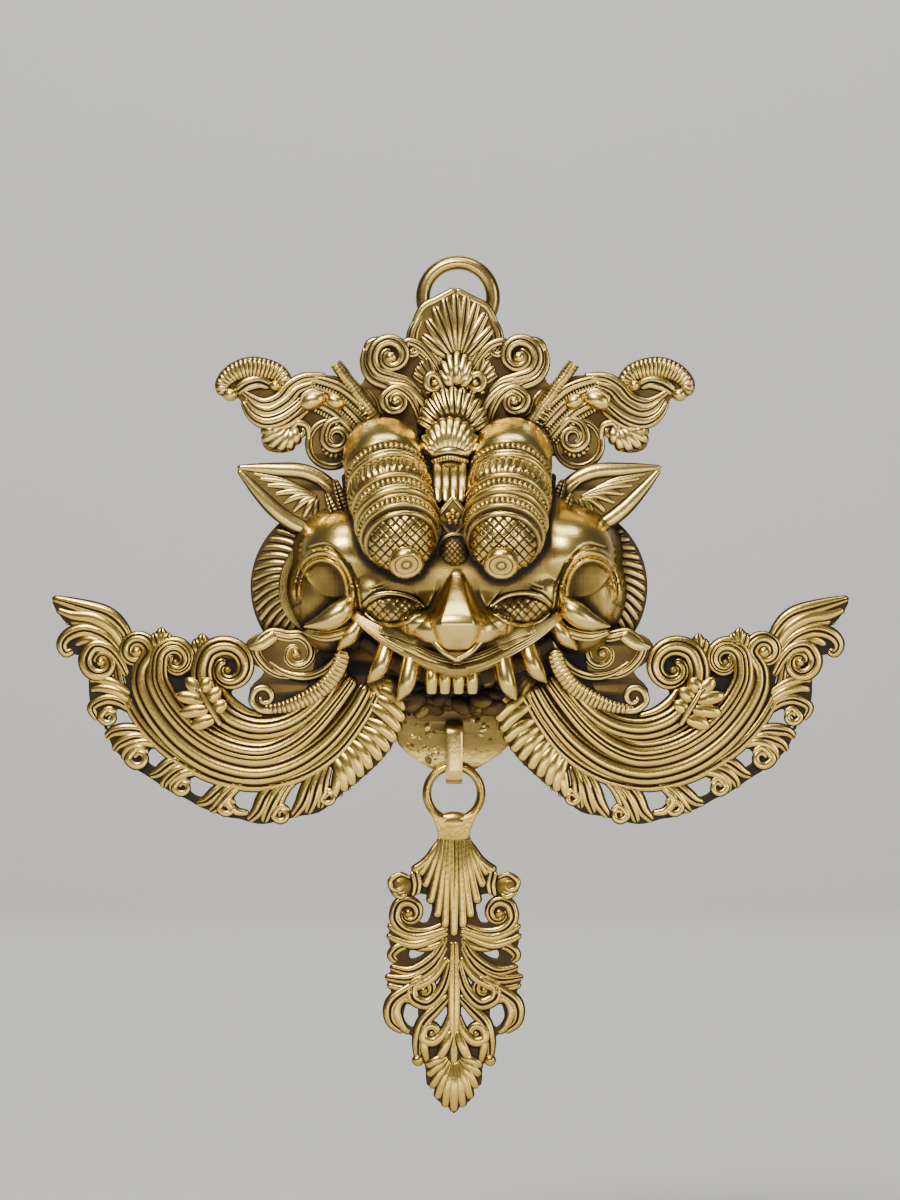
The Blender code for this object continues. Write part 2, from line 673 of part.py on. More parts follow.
def hanging_loop():
    """The cast ring at the top, whose lower half runs into the crown's back."""
    bar = drawn(LOOP_BAR)
    bore = drawn(LOOP_INNER_RADIUS)
    bpy.ops.mesh.primitive_torus_add(major_segments=24, minor_segments=6,
                                     major_radius=bore + 0.5 * bar, minor_radius=0.5 * bar)
    loop = bpy.context.object
    for collection in list(loop.users_collection):
        collection.objects.unlink(loop)
    works.objects.link(loop)
    loop.data.transform(Matrix.Translation((0.0, -bore, 0.52 * bar)))
    return loop


def box_cutter(low, high):
    """A box between two places on the grid."""
    body = bmesh.new()
    bmesh.ops.create_cube(body, size=1.0)
    item = mesh_object("box cutter", body)
    low, high = spot(*low), spot(*high)
    size = Matrix.Diagonal((*(abs(b - a) for a, b in zip(low, high)), 1.0))
    item.data.transform(Matrix.Translation(0.5 * (low + high)) @ size)
    return item


def link_hole():
    """The opening in the jaw plate, with the link's clearance all round."""
    half_width = 0.5 * link_width + 2.0 * gap
    height = link_bar + 3.0 * gap
    outline = rounded_outline(half_width, 0.5 * height, 0.3 * height, 2)
    middle_down = -(WEB_TOP + 0.5 * height) / SQ
    hole = [(x / SQ, middle_down - y / SQ) for x, y in outline]
    return plate(hole, JAW_PLATE_BACK / SQ - 8.0, JAW_PLATE_FRONT / SQ + 8.0)


def make_mask():
    groups = [
        lightened(unite("face", face_pieces()), FACE_KEPT_SHARE),
        lightened(unite("side", side_pieces()), ORNAMENT_KEPT_SHARE),
        lightened(unite("crown", crown_pieces()), ORNAMENT_KEPT_SHARE),
        lightened(unite("wing", wing_pieces()), ORNAMENT_KEPT_SHARE),
    ]
    half = unite("half", groups + [jaw_plate(), hanging_loop()])
    wall = drawn(PLATE_BACK_WALL) / SQ
    hollow = ball((0, 292, BEHIND), (148 - wall, 104 - wall, 112 - wall), 18, 10)
    for cutter in (box_cutter((-500, -100, -300), (500, 700, 0)),
                   ball((134, 318, 96), (19, 27, 44), 12, 8, -12),
                   hollow,
                   link_hole()):
        half = cut(half, cutter)
    return mirrored(lightened(half, 1.0))


def rounded_outline(half_x, half_y, radius, steps):
    """A rectangle with round corners, or a circle where the radius fills it."""
    outline = []
    for quarter, (side_x, side_y) in enumerate(((1, 1), (-1, 1), (-1, -1), (1, -1))):
        centre_x = side_x * (half_x - radius)
        centre_y = side_y * (half_y - radius)
        for step in range(steps):
            angle = 0.5 * pi * (quarter + (step + 0.5) / steps)
            outline.append((centre_x + radius * cos(angle), centre_y + radius * sin(angle)))
    return outline


def flat_ring(name, outer, inner, thickness):
    """A flat ring between two outlines, in its own XY plane."""
    curve = bpy.data.curves.new(name, "CURVE")
    curve.dimensions = "2D"
    curve.fill_mode = "BOTH"
    curve.extrude = 0.5 * thickness
    for outline in (outer, inner):
        spline = curve.splines.new("POLY")
        spline.points.add(len(outline) - 1)
        for point, (x, y) in zip(spline.points, outline):
            point.co = (x, y, 0.0, 1.0)
        spline.use_cyclic_u = True
    item = bpy.data.objects.new(name, curve)
    works.objects.link(item)
    return as_mesh(item)


def make_link():
    """A bent bar, on edge to the viewer, closed round the web of the jaw plate."""
    half_x = 0.5 * LINK_INNER_DEPTH
    half_y = 0.5 * (LINK_INNER_TOP - LINK_INNER_BOTTOM)
    corner = drawn(LINK_INNER_CORNER)
    inner = rounded_outline(half_x, half_y, corner, 3)
    outer = rounded_outline(half_x + link_bar, half_y + link_bar, corner + link_bar, 5)
    link = flat_ring("link", outer, inner, link_width)
    middle = Vector((0.0, 0.5 * (LINK_INNER_TOP + LINK_INNER_BOTTOM), LINK_MIDDLE_OUT))
    turn = Matrix.Rotation(radians(90.0), 4, "Y")
    link.data.transform(Matrix.Translation(middle) @ turn)
    bevel = link.modifiers.new("Soft edges", "BEVEL")
    bevel.width = 0.2 * link_bar
    bevel.segments = 1
    bevel.limit_method = "ANGLE"
    bevel.angle_limit = radians(50.0)
    return as_mesh(link)


def make_pendant():
    """The ring, the neck and the openwork leaf."""
    ring_y = PENDANT_RING_TOP - ring_bore
    outer = ring_bore + drawn(PENDANT_RING_BAND)
    ring = flat_ring("ring", rounded_outline(outer, outer, outer, 6),
                     rounded_outline(ring_bore, ring_bore, ring_bore, 5), pendant_bar)
    ring.data.transform(Matrix.Translation((0.0, ring_y, PENDANT_MIDDLE_OUT)))
    bevel = ring.modifiers.new("Soft edges", "BEVEL")
    bevel.width = 0.2 * pendant_bar
    bevel.segments = 1
    bevel.limit_method = "ANGLE"
    bevel.angle_limit = radians(50.0)
    ring = as_mesh(ring)

    back = (PENDANT_MIDDLE_OUT - 0.5 * pendant_bar) / SQ + 0.6
    front = (PENDANT_MIDDLE_OUT + 0.5 * pendant_bar) / SQ - 0.6
    low = front - 4.0
    shift = -ring_y / SQ - 522.0
    half_outline = [
        (0, 548), (18, 550), (17, 562), (15, 575), (20, 590), (32, 597), (46, 602), (58, 603),
        (64, 610), (62, 624), (56, 632), (61, 640), (63, 652), (67, 660), (66, 672), (62, 684),
        (63, 694), (69, 706), (65, 718), (64, 728), (67, 742), (60, 756), (44, 764), (40, 776),
        (39, 790), (31, 792), (29, 812), (20, 816), (18, 828), (8, 834), (0, 842),
    ]
    outline = half_outline + [(-x, down) for x, down in reversed(half_outline[1:-1])]
    right_holes = [
        [(24, 636), (26, 626), (36, 624), (39, 632), (37, 645), (28, 648)],
        [(18, 658), (26, 660), (40, 676), (42, 684), (32, 680), (21, 668)],
        [(11, 690), (18, 694), (28, 706), (24, 712), (15, 708), (10, 698)],
        [(6, 742), (10, 735), (18, 738), (22, 750), (16, 754), (8, 750)],
        [(38, 736), (45, 732), (48, 744), (42, 752), (38, 746)],
    ]
    holes = right_holes + [[(-x, down) for x, down in loop] for loop in right_holes]

    def lowered(path):
        return [(x, down + shift, *rest) for x, down, *rest in path]

    leaf = [plate(lowered(outline), back, front, [lowered(loop) for loop in holes])]
    flutes = [
        [(0, 552), (0, 600), (0, 662)],
        [(5, 553), (7, 600), (12, 652)],
        [(9, 552), (13, 600), (20, 642)],
        [(13, 554), (18, 596), (24, 628)],
        [(14, 572), (24, 596), (34, 608)],
        [(0, 665), (0, 730), (0, 790)],
        volute([(18, 650), (32, 655), (48, 656), (58, 648), (58, 636)], (46, 640), 0.8, False),
        [(16, 654), (40, 664), (66, 658)],
        [(24, 660), (42, 672), (62, 668)],
        [(10, 664), (22, 688), (44, 700), (67, 702)],
        [(12, 676), (26, 700), (48, 712), (66, 714)],
        [(22, 700), (52, 722), (64, 742), (56, 756), (43, 760)],
        volute([(3, 690), (12, 718), (26, 730), (38, 726)], (30, 716), 0.8, False),
        [(6, 722), (22, 738), (34, 752), (36, 788)],
        volute([(4, 742), (10, 758), (20, 768), (29, 766)], (23, 761), 0.6, False),
    ]
    for path in flutes:
        leaf.append(strand(lowered(path), 9, ridge, low, taper=(0.6, 1.0, 0.5), spans=1))
    leaf += fan((0, 786 + shift), [(0, 838 + shift), (13, 829 + shift), (23, 815 + shift),
                                   (27, 800 + shift)], 11, ridge, low)
    for x, down, radius in ((51, 615, 10), (46, 640, 5), (30, 716, 5), (35, 785, 6)):
        leaf.append(button(x, down + shift, low, radius, 9))
    carved = lightened(unite("pendant leaf", leaf), LEAF_KEPT_SHARE)
    return mirrored(unite("pendant half", [carved, ring]))


# Fits that follow from the sizes above, in the drawing space
gap = drawn(FIT_GAP)
link_bar = drawn(LINK_BAR)
link_width = drawn(LINK_WIDTH)
pendant_bar = drawn(PENDANT_BAR)
ring_bore = drawn(PENDANT_RING_INNER_RADIUS)
WEB_TOP = -461.0 * SQ
JAW_TIP_DOWN = 501.0
JAW_PLATE_BACK = drawn(JAW_PLATE_STANDOFF)
JAW_PLATE_FRONT = JAW_PLATE_BACK + drawn(JAW_PLATE_THICKNESS)
LINK_INNER_TOP = WEB_TOP + gap
LINK_INNER_BOTTOM = -JAW_TIP_DOWN * SQ - 2.0 * gap
PENDANT_MIDDLE_OUT = JAW_PLATE_FRONT + 2.0 * gap + 0.5 * pendant_bar
LINK_BACK = JAW_PLATE_BACK - 2.0 * gap
LINK_FRONT = PENDANT_MIDDLE_OUT + 0.5 * pendant_bar + 2.0 * gap
LINK_INNER_DEPTH = LINK_FRONT - LINK_BACK
LINK_MIDDLE_OUT = 0.5 * (LINK_FRONT + LINK_BACK)
RING_SAG = ring_bore - (ring_bore ** 2 - (0.5 * link_width) ** 2) ** 0.5
PENDANT_RING_TOP = LINK_INNER_BOTTOM + gap + RING_SAG

clear_scene()
parts = new_collection("kirtimukha mask")
works = new_collection("guides and cutters")
ridge = profile("ridge section", [(-1.0, 0.0), (1.0, 0.0), (0.0, 1.7)])
slab = profile("slab section", [(-1.0, 0.0), (1.0, 0.0), (0.85, 1.7), (-0.85, 1.7)])

finish(make_mask(), "mask", brass_material("mask brass"))
finish(make_link(), "link", brass_material("link brass"))
finish(make_pendant(), "pendant", brass_material("pendant brass"))
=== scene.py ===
"""Looks of the kirtimukha mask: its fine carving, its patina with painted shade, and a plain studio.

The carving is drawn on the same grid of squares as the solids: across from
the middle line, down from the point where the loop bears on its nail, and
out from the wall. Each corner also gets a shade, from 0 where the brass is
worn bright to 1 where the patina and the painted shade lie deepest.
"""

from math import acos, atan2, cos, degrees, hypot, pi, radians, sin

import bpy
import numpy as np
from mathutils import Matrix, Vector


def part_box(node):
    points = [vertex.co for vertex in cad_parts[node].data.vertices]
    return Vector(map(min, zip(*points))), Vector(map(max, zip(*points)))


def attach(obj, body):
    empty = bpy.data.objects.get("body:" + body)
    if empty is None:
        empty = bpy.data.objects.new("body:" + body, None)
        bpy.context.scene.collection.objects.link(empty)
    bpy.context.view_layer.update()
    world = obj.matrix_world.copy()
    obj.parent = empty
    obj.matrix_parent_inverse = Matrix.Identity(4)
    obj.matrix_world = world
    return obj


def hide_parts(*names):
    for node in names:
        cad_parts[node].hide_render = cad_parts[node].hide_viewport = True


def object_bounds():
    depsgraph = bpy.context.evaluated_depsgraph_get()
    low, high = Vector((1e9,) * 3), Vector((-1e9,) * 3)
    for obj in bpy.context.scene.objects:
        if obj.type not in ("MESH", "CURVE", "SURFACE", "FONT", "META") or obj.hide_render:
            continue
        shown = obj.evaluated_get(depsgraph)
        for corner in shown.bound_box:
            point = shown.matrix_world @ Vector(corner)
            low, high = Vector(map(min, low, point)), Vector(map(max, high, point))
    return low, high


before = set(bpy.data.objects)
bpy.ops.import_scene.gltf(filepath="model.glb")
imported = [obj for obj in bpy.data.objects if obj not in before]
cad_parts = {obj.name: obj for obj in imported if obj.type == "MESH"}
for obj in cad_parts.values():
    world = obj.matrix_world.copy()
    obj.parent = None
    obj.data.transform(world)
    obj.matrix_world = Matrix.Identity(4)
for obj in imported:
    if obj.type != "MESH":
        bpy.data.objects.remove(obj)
cad_low, cad_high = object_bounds()

# Sizes in metres
MASK_SPAN = 0.3526             # from wing tip to wing tip
LOOP_BAR = 0.0062
LOOP_INNER_RADIUS = 0.0124
JAW_PLATE_THICKNESS = 0.0035
JAW_PLATE_STANDOFF = 0.0100
LINK_BAR = 0.0045
FLOOR_BELOW = 0.085            # from the pendant's tip to the floor
BACKDROP_BEHIND = 3.4

# The drawing's grid
SQUARES_ACROSS = 797.0
SQ = MASK_SPAN / SQUARES_ACROSS
STEP = 1.8                     # squares between the rings of a strand
HIDDEN = -1.0                  # marks corners that always take BACK_SHADE

# How far each group sits from the middle line, in squares
WING_SHIFT = -4.5
FACE_SHIFT = 2.0
SIDE_SHIFT = -6.0
STEM_SHIFT = -5.0
DIAMOND_SHIFT = -4.0
JAW_SHIFT = -3.0
PENDANT_SHIFT = -1.0
LOOP_SHIFT = 3.0

# Levels of the relief, in squares out from the wall
WING_FRONT = 10.0
CROWN_FRONT = 14.0
COLLAR_FRONT = 16.0
UNDER_FRONT = 33.0
WING_LEAN = 0.10
WING_REST_X = 402.0

# The room in metres, and its lights: place, aim, size, power and colour
ROOM_HALF = 6.0
ROOM_TOP = 5.0
WHITE = (1.0, 1.0, 1.0)
SKY_COLOUR = (0.62, 0.63, 0.65)
SKY_STRENGTH = 0.12
FLOOR_COLOUR = (0.80, 0.79, 0.77)
FLOOR_ROUGHNESS = 0.85
MASK_MIDDLE = (0.0, 0.0, -0.16)
LIGHTS = {
    "key": ((-0.5, -1.5, 1.15), MASK_MIDDLE, (0.8, 0.55), 40.0, (1.0, 0.96, 0.90)),
    "top": ((0.0, -0.45, 1.25), MASK_MIDDLE, (1.2, 0.4), 10.0, WHITE),
    "fill": ((1.5, -1.3, 0.1), MASK_MIDDLE, (0.7, 1.0), 9.0, WHITE),
    "low fill": ((0.1, -1.4, -0.42), MASK_MIDDLE, (1.2, 0.2), 4.0, WHITE),
    "backdrop light": ((0.0, 1.6, 2.2), (0.0, 3.4, 0.2), (3.0, 1.0), 60.0, WHITE),
}

# The camera looks straight at the wall, as in the photo
LENS = 180.0                   # mm
SENSOR = 36.0                  # mm, on the picture's height
CAMERA_DISTANCE = 2.655
CAMERA_X = -0.0022
CAMERA_Z = -0.146


class Carving:
    """The surfaces of one piece, with a shade for each corner."""

    def __init__(self):
        self.corners = []
        self.shades = []
        self.quads = []
        self.triangles = []
        self.count = 0

    def add(self, corners, shades, quads=(), triangles=()):
        corners = np.asarray(corners, float).reshape(-1, 3)
        shades = np.broadcast_to(np.asarray(shades, float), (len(corners),))
        self.corners.append(corners)
        self.shades.append(shades)
        if len(quads):
            self.quads.append(np.asarray(quads, int) + self.count)
        if len(triangles):
            self.triangles.append(np.asarray(triangles, int) + self.count)
        self.count += len(corners)

    def changed(self, move, flip=False):
        """A copy with its corners moved; flip turns the faces over."""
        copy = Carving()
        copy.count = self.count
        copy.corners = [move(c.copy()) for c in self.corners]
        copy.shades = list(self.shades)
        order = -1 if flip else 1
        copy.quads = [q[:, ::order] for q in self.quads]
        copy.triangles = [t[:, ::order] for t in self.triangles]
        return copy

    def take(self, other):
        """Add another carving's surfaces to this one."""
        for corners, shades in zip(other.corners, other.shades):
            self.corners.append(corners)
            self.shades.append(shades)
        self.quads += [q + self.count for q in other.quads]
        self.triangles += [t + self.count for t in other.triangles]
        self.count += other.count


def shifted(across):
    def move(corners):
        corners[:, 0] += across
        return corners
    return move


def mirror(corners):
    corners[:, 0] *= -1.0
    return corners


def both_sides(half, across):
    """The half and its mirror image, moved across together."""
    whole = half.changed(shifted(across))
    whole.take(half.changed(mirror, flip=True).changed(shifted(across)))
    return whole


def grid_quads(rows, columns, wrap_rows=False, wrap_columns=False):
    last_row = rows if wrap_rows else rows - 1
    last_column = columns if wrap_columns else columns - 1
    r, c = np.meshgrid(np.arange(last_row), np.arange(last_column), indexing="ij")
    r, c = r.ravel(), c.ravel()
    up, on = (r + 1) % rows, (c + 1) % columns
    return np.stack([r * columns + c, r * columns + on, up * columns + on, up * columns + c], 1)


def smooth(points, spans):
    """Points along a Catmull-Rom curve through the given ones."""
    points = np.asarray(points, float)
    if len(points) < 3:
        return points
    padded = np.vstack([points[:1], points, points[-1:]])
    t = (np.arange(spans) / spans)[:, None]
    path = []
    for k in range(len(points) - 1):
        a, b, c, d = padded[k:k + 4]
        path.append(0.5 * (2 * b + (c - a) * t + (2 * a - 5 * b + 4 * c - d) * t ** 2
                           + (3 * b - a - 3 * c + d) * t ** 3))
    path.append(points[-1:])
    return np.vstack(path)


def evenly(path, step):
    """The path again, with points at equal distances."""
    lengths = np.hypot(*np.diff(path[:, :2], axis=0).T)
    along = np.concatenate([[0.0], np.cumsum(lengths)])
    count = max(6, int(round(along[-1] / step)) + 1)
    places = np.linspace(0.0, along[-1], count)
    return np.stack([np.interp(places, along, column) for column in path.T], 1), places


def ridges(shares, dome=0.5, groove=0.5, per_ridge=7):
    """Ridges side by side on one swelling: their places across, heights and shades.

    The shares say how the ridges divide the width. Each ridge has a broad
    bright top, and a narrow dark groove parts it from the next.
    """
    edges = 2.0 * np.concatenate([[0.0], np.cumsum(shares)]) / sum(shares) - 1.0
    across, height, shade = [-1.0], [0.0], [1.0]
    for left, right in zip(edges, edges[1:]):
        half = 0.5 * (right - left)
        for local in np.sin(0.5 * pi * np.linspace(-0.86, 0.86, per_ridge)):
            place = left + half * (1.0 + local)
            swelling = dome * (1.0 - (0.95 * place) ** 2) ** 0.5
            across.append(place)
            height.append(0.3 + swelling - groove * half ** 0.7 * (1.0 - (1.0 - local ** 4) ** 0.5))
            shade.append(0.9 * max(0.0, abs(local) - 0.62) / 0.24)
        across.append(right)
        height.append(0.3 + 0.9 * dome * (1.0 - (0.95 * right) ** 2) ** 0.5 - groove * half ** 0.7)
        shade.append(1.0)
    height[-1] = 0.0
    return (np.array([-1.0, *across, 1.0]), np.array([-0.8, *height, -0.8]),
            np.array([1.0, *shade, 1.0]))


ONE = ridges((1.0,), 0.62, 0.12, 8)
TWO = ridges((0.58, 0.42), 0.5)
THREE = ridges((0.22, 0.5, 0.28), 0.5)
FOUR = ridges((0.18, 0.36, 0.16, 0.3), 0.45)
PAIR = ridges((1.0, 1.0), 0.5, 0.6)
FINE = ridges((1.0,) * 7, 0.3, 0.45, 4)
SLAB = (np.array([-1.0, -1.0, -0.82, -0.4, 0.4, 0.82, 1.0, 1.0]),
        np.array([-0.8, 0.35, 0.62, 0.74, 0.74, 0.62, 0.35, -0.8]),
        np.array([1.0, 0.6, 0.1, 0.0, 0.0, 0.1, 0.6, 1.0]))


def strand(carving, points, width, section=ONE, out=0.0, taper=(0.5, 0.4), lift=1.0,
           ticks=0.0, step=STEP, cut_depth=0.28, age=0.0):
    """A carved ridge along the points.

    taper gives the shares of the width that are left at its two ends, ticks
    is the spacing of cuts across it, if any, and age darkens the whole.
    """
    full = np.array([(p[0], p[1], p[2] if len(p) > 2 else out) for p in points], float)
    path, along = evenly(smooth(full, 10), step if not ticks else min(step, 0.25 * ticks))
    t = along / along[-1]
    ends = np.where(t < 0.5, taper[0], taper[1])
    share = ends + (1.0 - ends) * np.sin(pi * t)
    half = 0.5 * width * share
    for distance, end in ((along, half[0]), (along[-1] - along, half[-1])):
        reach = np.clip(distance / max(end, 0.3), 0.0, 1.0)
        half = half * np.sqrt(np.clip(1.0 - (1.0 - reach) ** 2, 0.02, 1.0))
    run = np.gradient(path[:, :2], axis=0)
    run /= np.maximum(np.hypot(run[:, 0], run[:, 1]), 1e-9)[:, None]
    across, height, shade = section
    rise = lift * height[None, :] * half[:, None]
    dark = np.clip(np.broadcast_to(shade, rise.shape) + age, 0.0, 1.0)
    if ticks:
        cut = np.clip(1.6 * np.cos(2 * pi * along / ticks) - 0.6, 0.0, 1.0)[:, None]
        top = (height > 0.2)[None, :]
        rise = rise - cut_depth * cut * half[:, None] * top
        dark = np.clip(dark + (0.3 + 1.1 * cut_depth) * cut * top, 0.0, 1.0)
    corners = np.empty((len(path), len(across), 3))
    corners[:, :, 0] = path[:, 0, None] - run[:, 1, None] * across * half[:, None]
    corners[:, :, 1] = path[:, 1, None] + run[:, 0, None] * across * half[:, None]
    corners[:, :, 2] = path[:, 2, None] + rise
    carving.add(corners, dark.ravel(), grid_quads(len(path), len(across), wrap_columns=True))


def volute(body, centre, turns, clockwise, shrink=0.66):
    """The body's points, led on into a spiral round the centre."""
    x, down = body[-1][0] - centre[0], body[-1][1] - centre[1]
    radius, start = hypot(x, down), atan2(down, x)
    count = max(3, round(10 * turns))
    sense = 1.0 if clockwise else -1.0
    path = list(body)
    for k in range(1, count + 1):
        t = k / count
        angle = start + sense * 2 * pi * turns * t
        reach = radius * (1 - shrink * t)
        place = (centre[0] + reach * cos(angle), centre[1] + reach * sin(angle))
        path.append(place + tuple(body[-1][2:]))
    return path


def fan(carving, root, tips, width, section=ONE, out=0.0, lift=0.0, root_share=0.4):
    """Flutes that spread from one root to their tips, like a palmette."""
    for x, down in tips:
        start = (root[0] + 0.12 * (x - root[0]), root[1] + 0.12 * (down - root[1]), out)
        middle = (0.42 * root[0] + 0.58 * x, 0.42 * root[1] + 0.58 * down, out + lift)
        strand(carving, [start, middle, (x, down, out)], width, section, out,
               (root_share, 0.75))


def arc_tips(centre, radii, first, last, count):
    """Places on an arc, counted in degrees from straight up, to the right."""
    return [(centre[0] + radii[0] * sin(radians(a)), centre[1] - radii[1] * cos(radians(a)))
            for a in np.linspace(first, last, count)]


def ball(carving, centre, radii, around=24, rings=16, shade=0.25, lean=0.0, shape=None):
    """An ellipsoid; shape may move its corners and change their shades."""
    polar = np.linspace(0.0, pi, rings + 1)[:, None]
    turn = np.linspace(0.0, 2 * pi, around, endpoint=False)[None, :]
    unit = np.stack(np.broadcast_arrays(np.sin(polar) * np.cos(turn), np.sin(polar) * np.sin(turn),
                                        np.cos(polar)), -1).reshape(-1, 3)
    corners = unit * np.array(radii)
    c, s = cos(radians(lean)), sin(radians(lean))
    corners[:, :2] = corners[:, :2] @ np.array([[c, s], [-s, c]])
    corners += np.array(centre)
    shades = np.full(len(corners), shade)
    if shape:
        corners, shades = shape(corners, shades, unit)
    carving.add(corners, shades, grid_quads(rings + 1, around, wrap_columns=True))


def bowl(carving, outside, inside, around=90, rings=24, shade=HIDDEN):
    """The half of an ellipsoid that stands on the wall, with a hollow in its back."""
    turn = np.linspace(0.0, 2 * pi, around, endpoint=False)
    rows = []
    for (centre, radii), way in ((outside, 1), (inside, -1)):
        rim = acos(-centre[2] / radii[2])
        for polar in np.linspace(0.0, rim, rings)[::way]:
            rows.append(np.stack([centre[0] + radii[0] * sin(polar) * np.cos(turn),
                                  centre[1] + radii[1] * sin(polar) * np.sin(turn),
                                  np.full(around, centre[2] + radii[2] * cos(polar))], 1))
    carving.add(np.vstack(rows), shade, grid_quads(len(rows), around, wrap_columns=True))


def bead(carving, x, down, out, radius, shade=0.15):
    ball(carving, (x, down, out), (radius, radius, radius), 10, 7, shade)


def rod(carving, points, radii, shade, sides, step=STEP, hatch=0.0):
    """A round tapering body in space; hatch is the spacing of slanting cuts round it."""
    full = smooth([(*p, r) for p, r in zip(points, radii)], 12)
    lengths = np.linalg.norm(np.diff(full[:, :3], axis=0), axis=1)
    along = np.concatenate([[0.0], np.cumsum(lengths)])
    places = np.linspace(0.0, along[-1], max(5, int(along[-1] / step)))
    path = np.stack([np.interp(places, along, column) for column in full.T], 1)
    run = np.gradient(path[:, :3], axis=0)
    run /= np.linalg.norm(run, axis=1)[:, None]
    side = np.cross(run, np.array([0.0, 0.0, 1.0]))
    side /= np.maximum(np.linalg.norm(side, axis=1), 1e-9)[:, None]
    up = np.cross(side, run)
    turn = np.linspace(0.0, 2 * pi, sides, endpoint=False)
    radius = np.repeat(path[:, 3, None], sides, 1)
    dark = np.full(radius.shape, shade)
    if hatch:
        cut = np.clip(np.cos(2 * pi * places[:, None] / hatch + turn[None, :]) * 1.5 - 0.6, 0, 1)
        radius = radius - 0.18 * cut * radius
        dark = dark + 0.5 * cut
    corners = (path[:, None, :3] + radius[:, :, None] * (side[:, None] * np.cos(turn)[:, None]
                                                         + up[:, None] * np.sin(turn)[:, None]))
    rows = len(path)
    whole = np.vstack([corners.reshape(-1, 3), path[:1, :3], path[-1:, :3]])
    first, last = rows * sides, rows * sides + 1
    ring = np.arange(sides)
    caps = [(first, (k + 1) % sides, k) for k in ring]
    caps += [(last, (rows - 1) * sides + k, (rows - 1) * sides + (k + 1) % sides) for k in ring]
    shades = np.concatenate([dark.ravel(), [shade, shade]])
    carving.add(whole, shades, grid_quads(rows, sides, wrap_columns=True), caps)


def plate(carving, outline, back, front, holes=(), shade=1.0, inset=0.0):
    """A flat plate with openings, between two levels out from the wall."""
    curve = bpy.data.curves.new("plate", "CURVE")
    curve.dimensions = "2D"
    curve.fill_mode = "BOTH"
    curve.extrude = 0.5 * (front - back)
    curve.bevel_depth = min(1.2, 0.3 * (front - back))
    curve.bevel_resolution = 1
    curve.offset = -curve.bevel_depth - inset
    for loop in [outline, *holes]:
        path = smooth(list(loop) + [loop[0]], 3)[:-1]
        spline = curve.splines.new("POLY")
        spline.points.add(len(path) - 1)
        for point, (x, down) in zip(spline.points, path):
            point.co = (x, down, 0.0, 1.0)
        spline.use_cyclic_u = True
    item = bpy.data.objects.new("plate", curve)
    bpy.context.scene.collection.objects.link(item)
    bpy.context.view_layer.update()
    graph = bpy.context.evaluated_depsgraph_get()
    mesh = bpy.data.meshes.new_from_object(item.evaluated_get(graph))
    bpy.data.objects.remove(item)
    corners = np.array([v.co for v in mesh.vertices]).reshape(-1, 3)
    corners[:, 2] += 0.5 * (front + back)
    quads = [tuple(f.vertices) for f in mesh.polygons if len(f.vertices) == 4]
    triangles = [tuple(f.vertices) for f in mesh.polygons if len(f.vertices) == 3]
    bpy.data.meshes.remove(mesh)
    carving.add(corners, shade, quads, triangles)


def lathe(carving, outline, around, place, beads=(), gadroons=()):
    """A profile of (radius, height, shade) turned about its axis and set in place.

    beads and gadroons are (height, half height, number, depth): the ring there
    is cut into that many round beads or slanting lobes.
    """
    outline = np.array(outline, float)
    turn = np.linspace(0.0, 2 * pi, around, endpoint=False)
    radius = np.repeat(outline[:, 0, None], around, 1)
    dark = np.repeat(outline[:, 2, None], around, 1)
    for slant, rings in ((0.0, beads), (1.0, gadroons)):
        for level, half, number, depth in rings:
            off = (outline[:, 1] - level) / half
            weight = np.clip(1.0 - off ** 2, 0.0, 1.0)[:, None] ** 0.5
            phase = number * turn[None, :] + slant * 1.8 * off[:, None]
            cut = (1.0 - np.abs(np.sin(0.5 * phase))) ** 1.6
            radius = radius - depth * weight * cut
            dark = np.clip(dark + 0.75 * weight * cut, 0.0, 1.0)
    corners = np.stack([radius * np.cos(turn), radius * np.sin(turn),
                        np.repeat(outline[:, 1, None], around, 1)], -1).reshape(-1, 3)
    corners = corners @ np.array(place.to_3x3()).T + np.array(place.translation)
    carving.add(corners, dark.ravel(), grid_quads(len(outline), around, wrap_columns=True))


# Wings

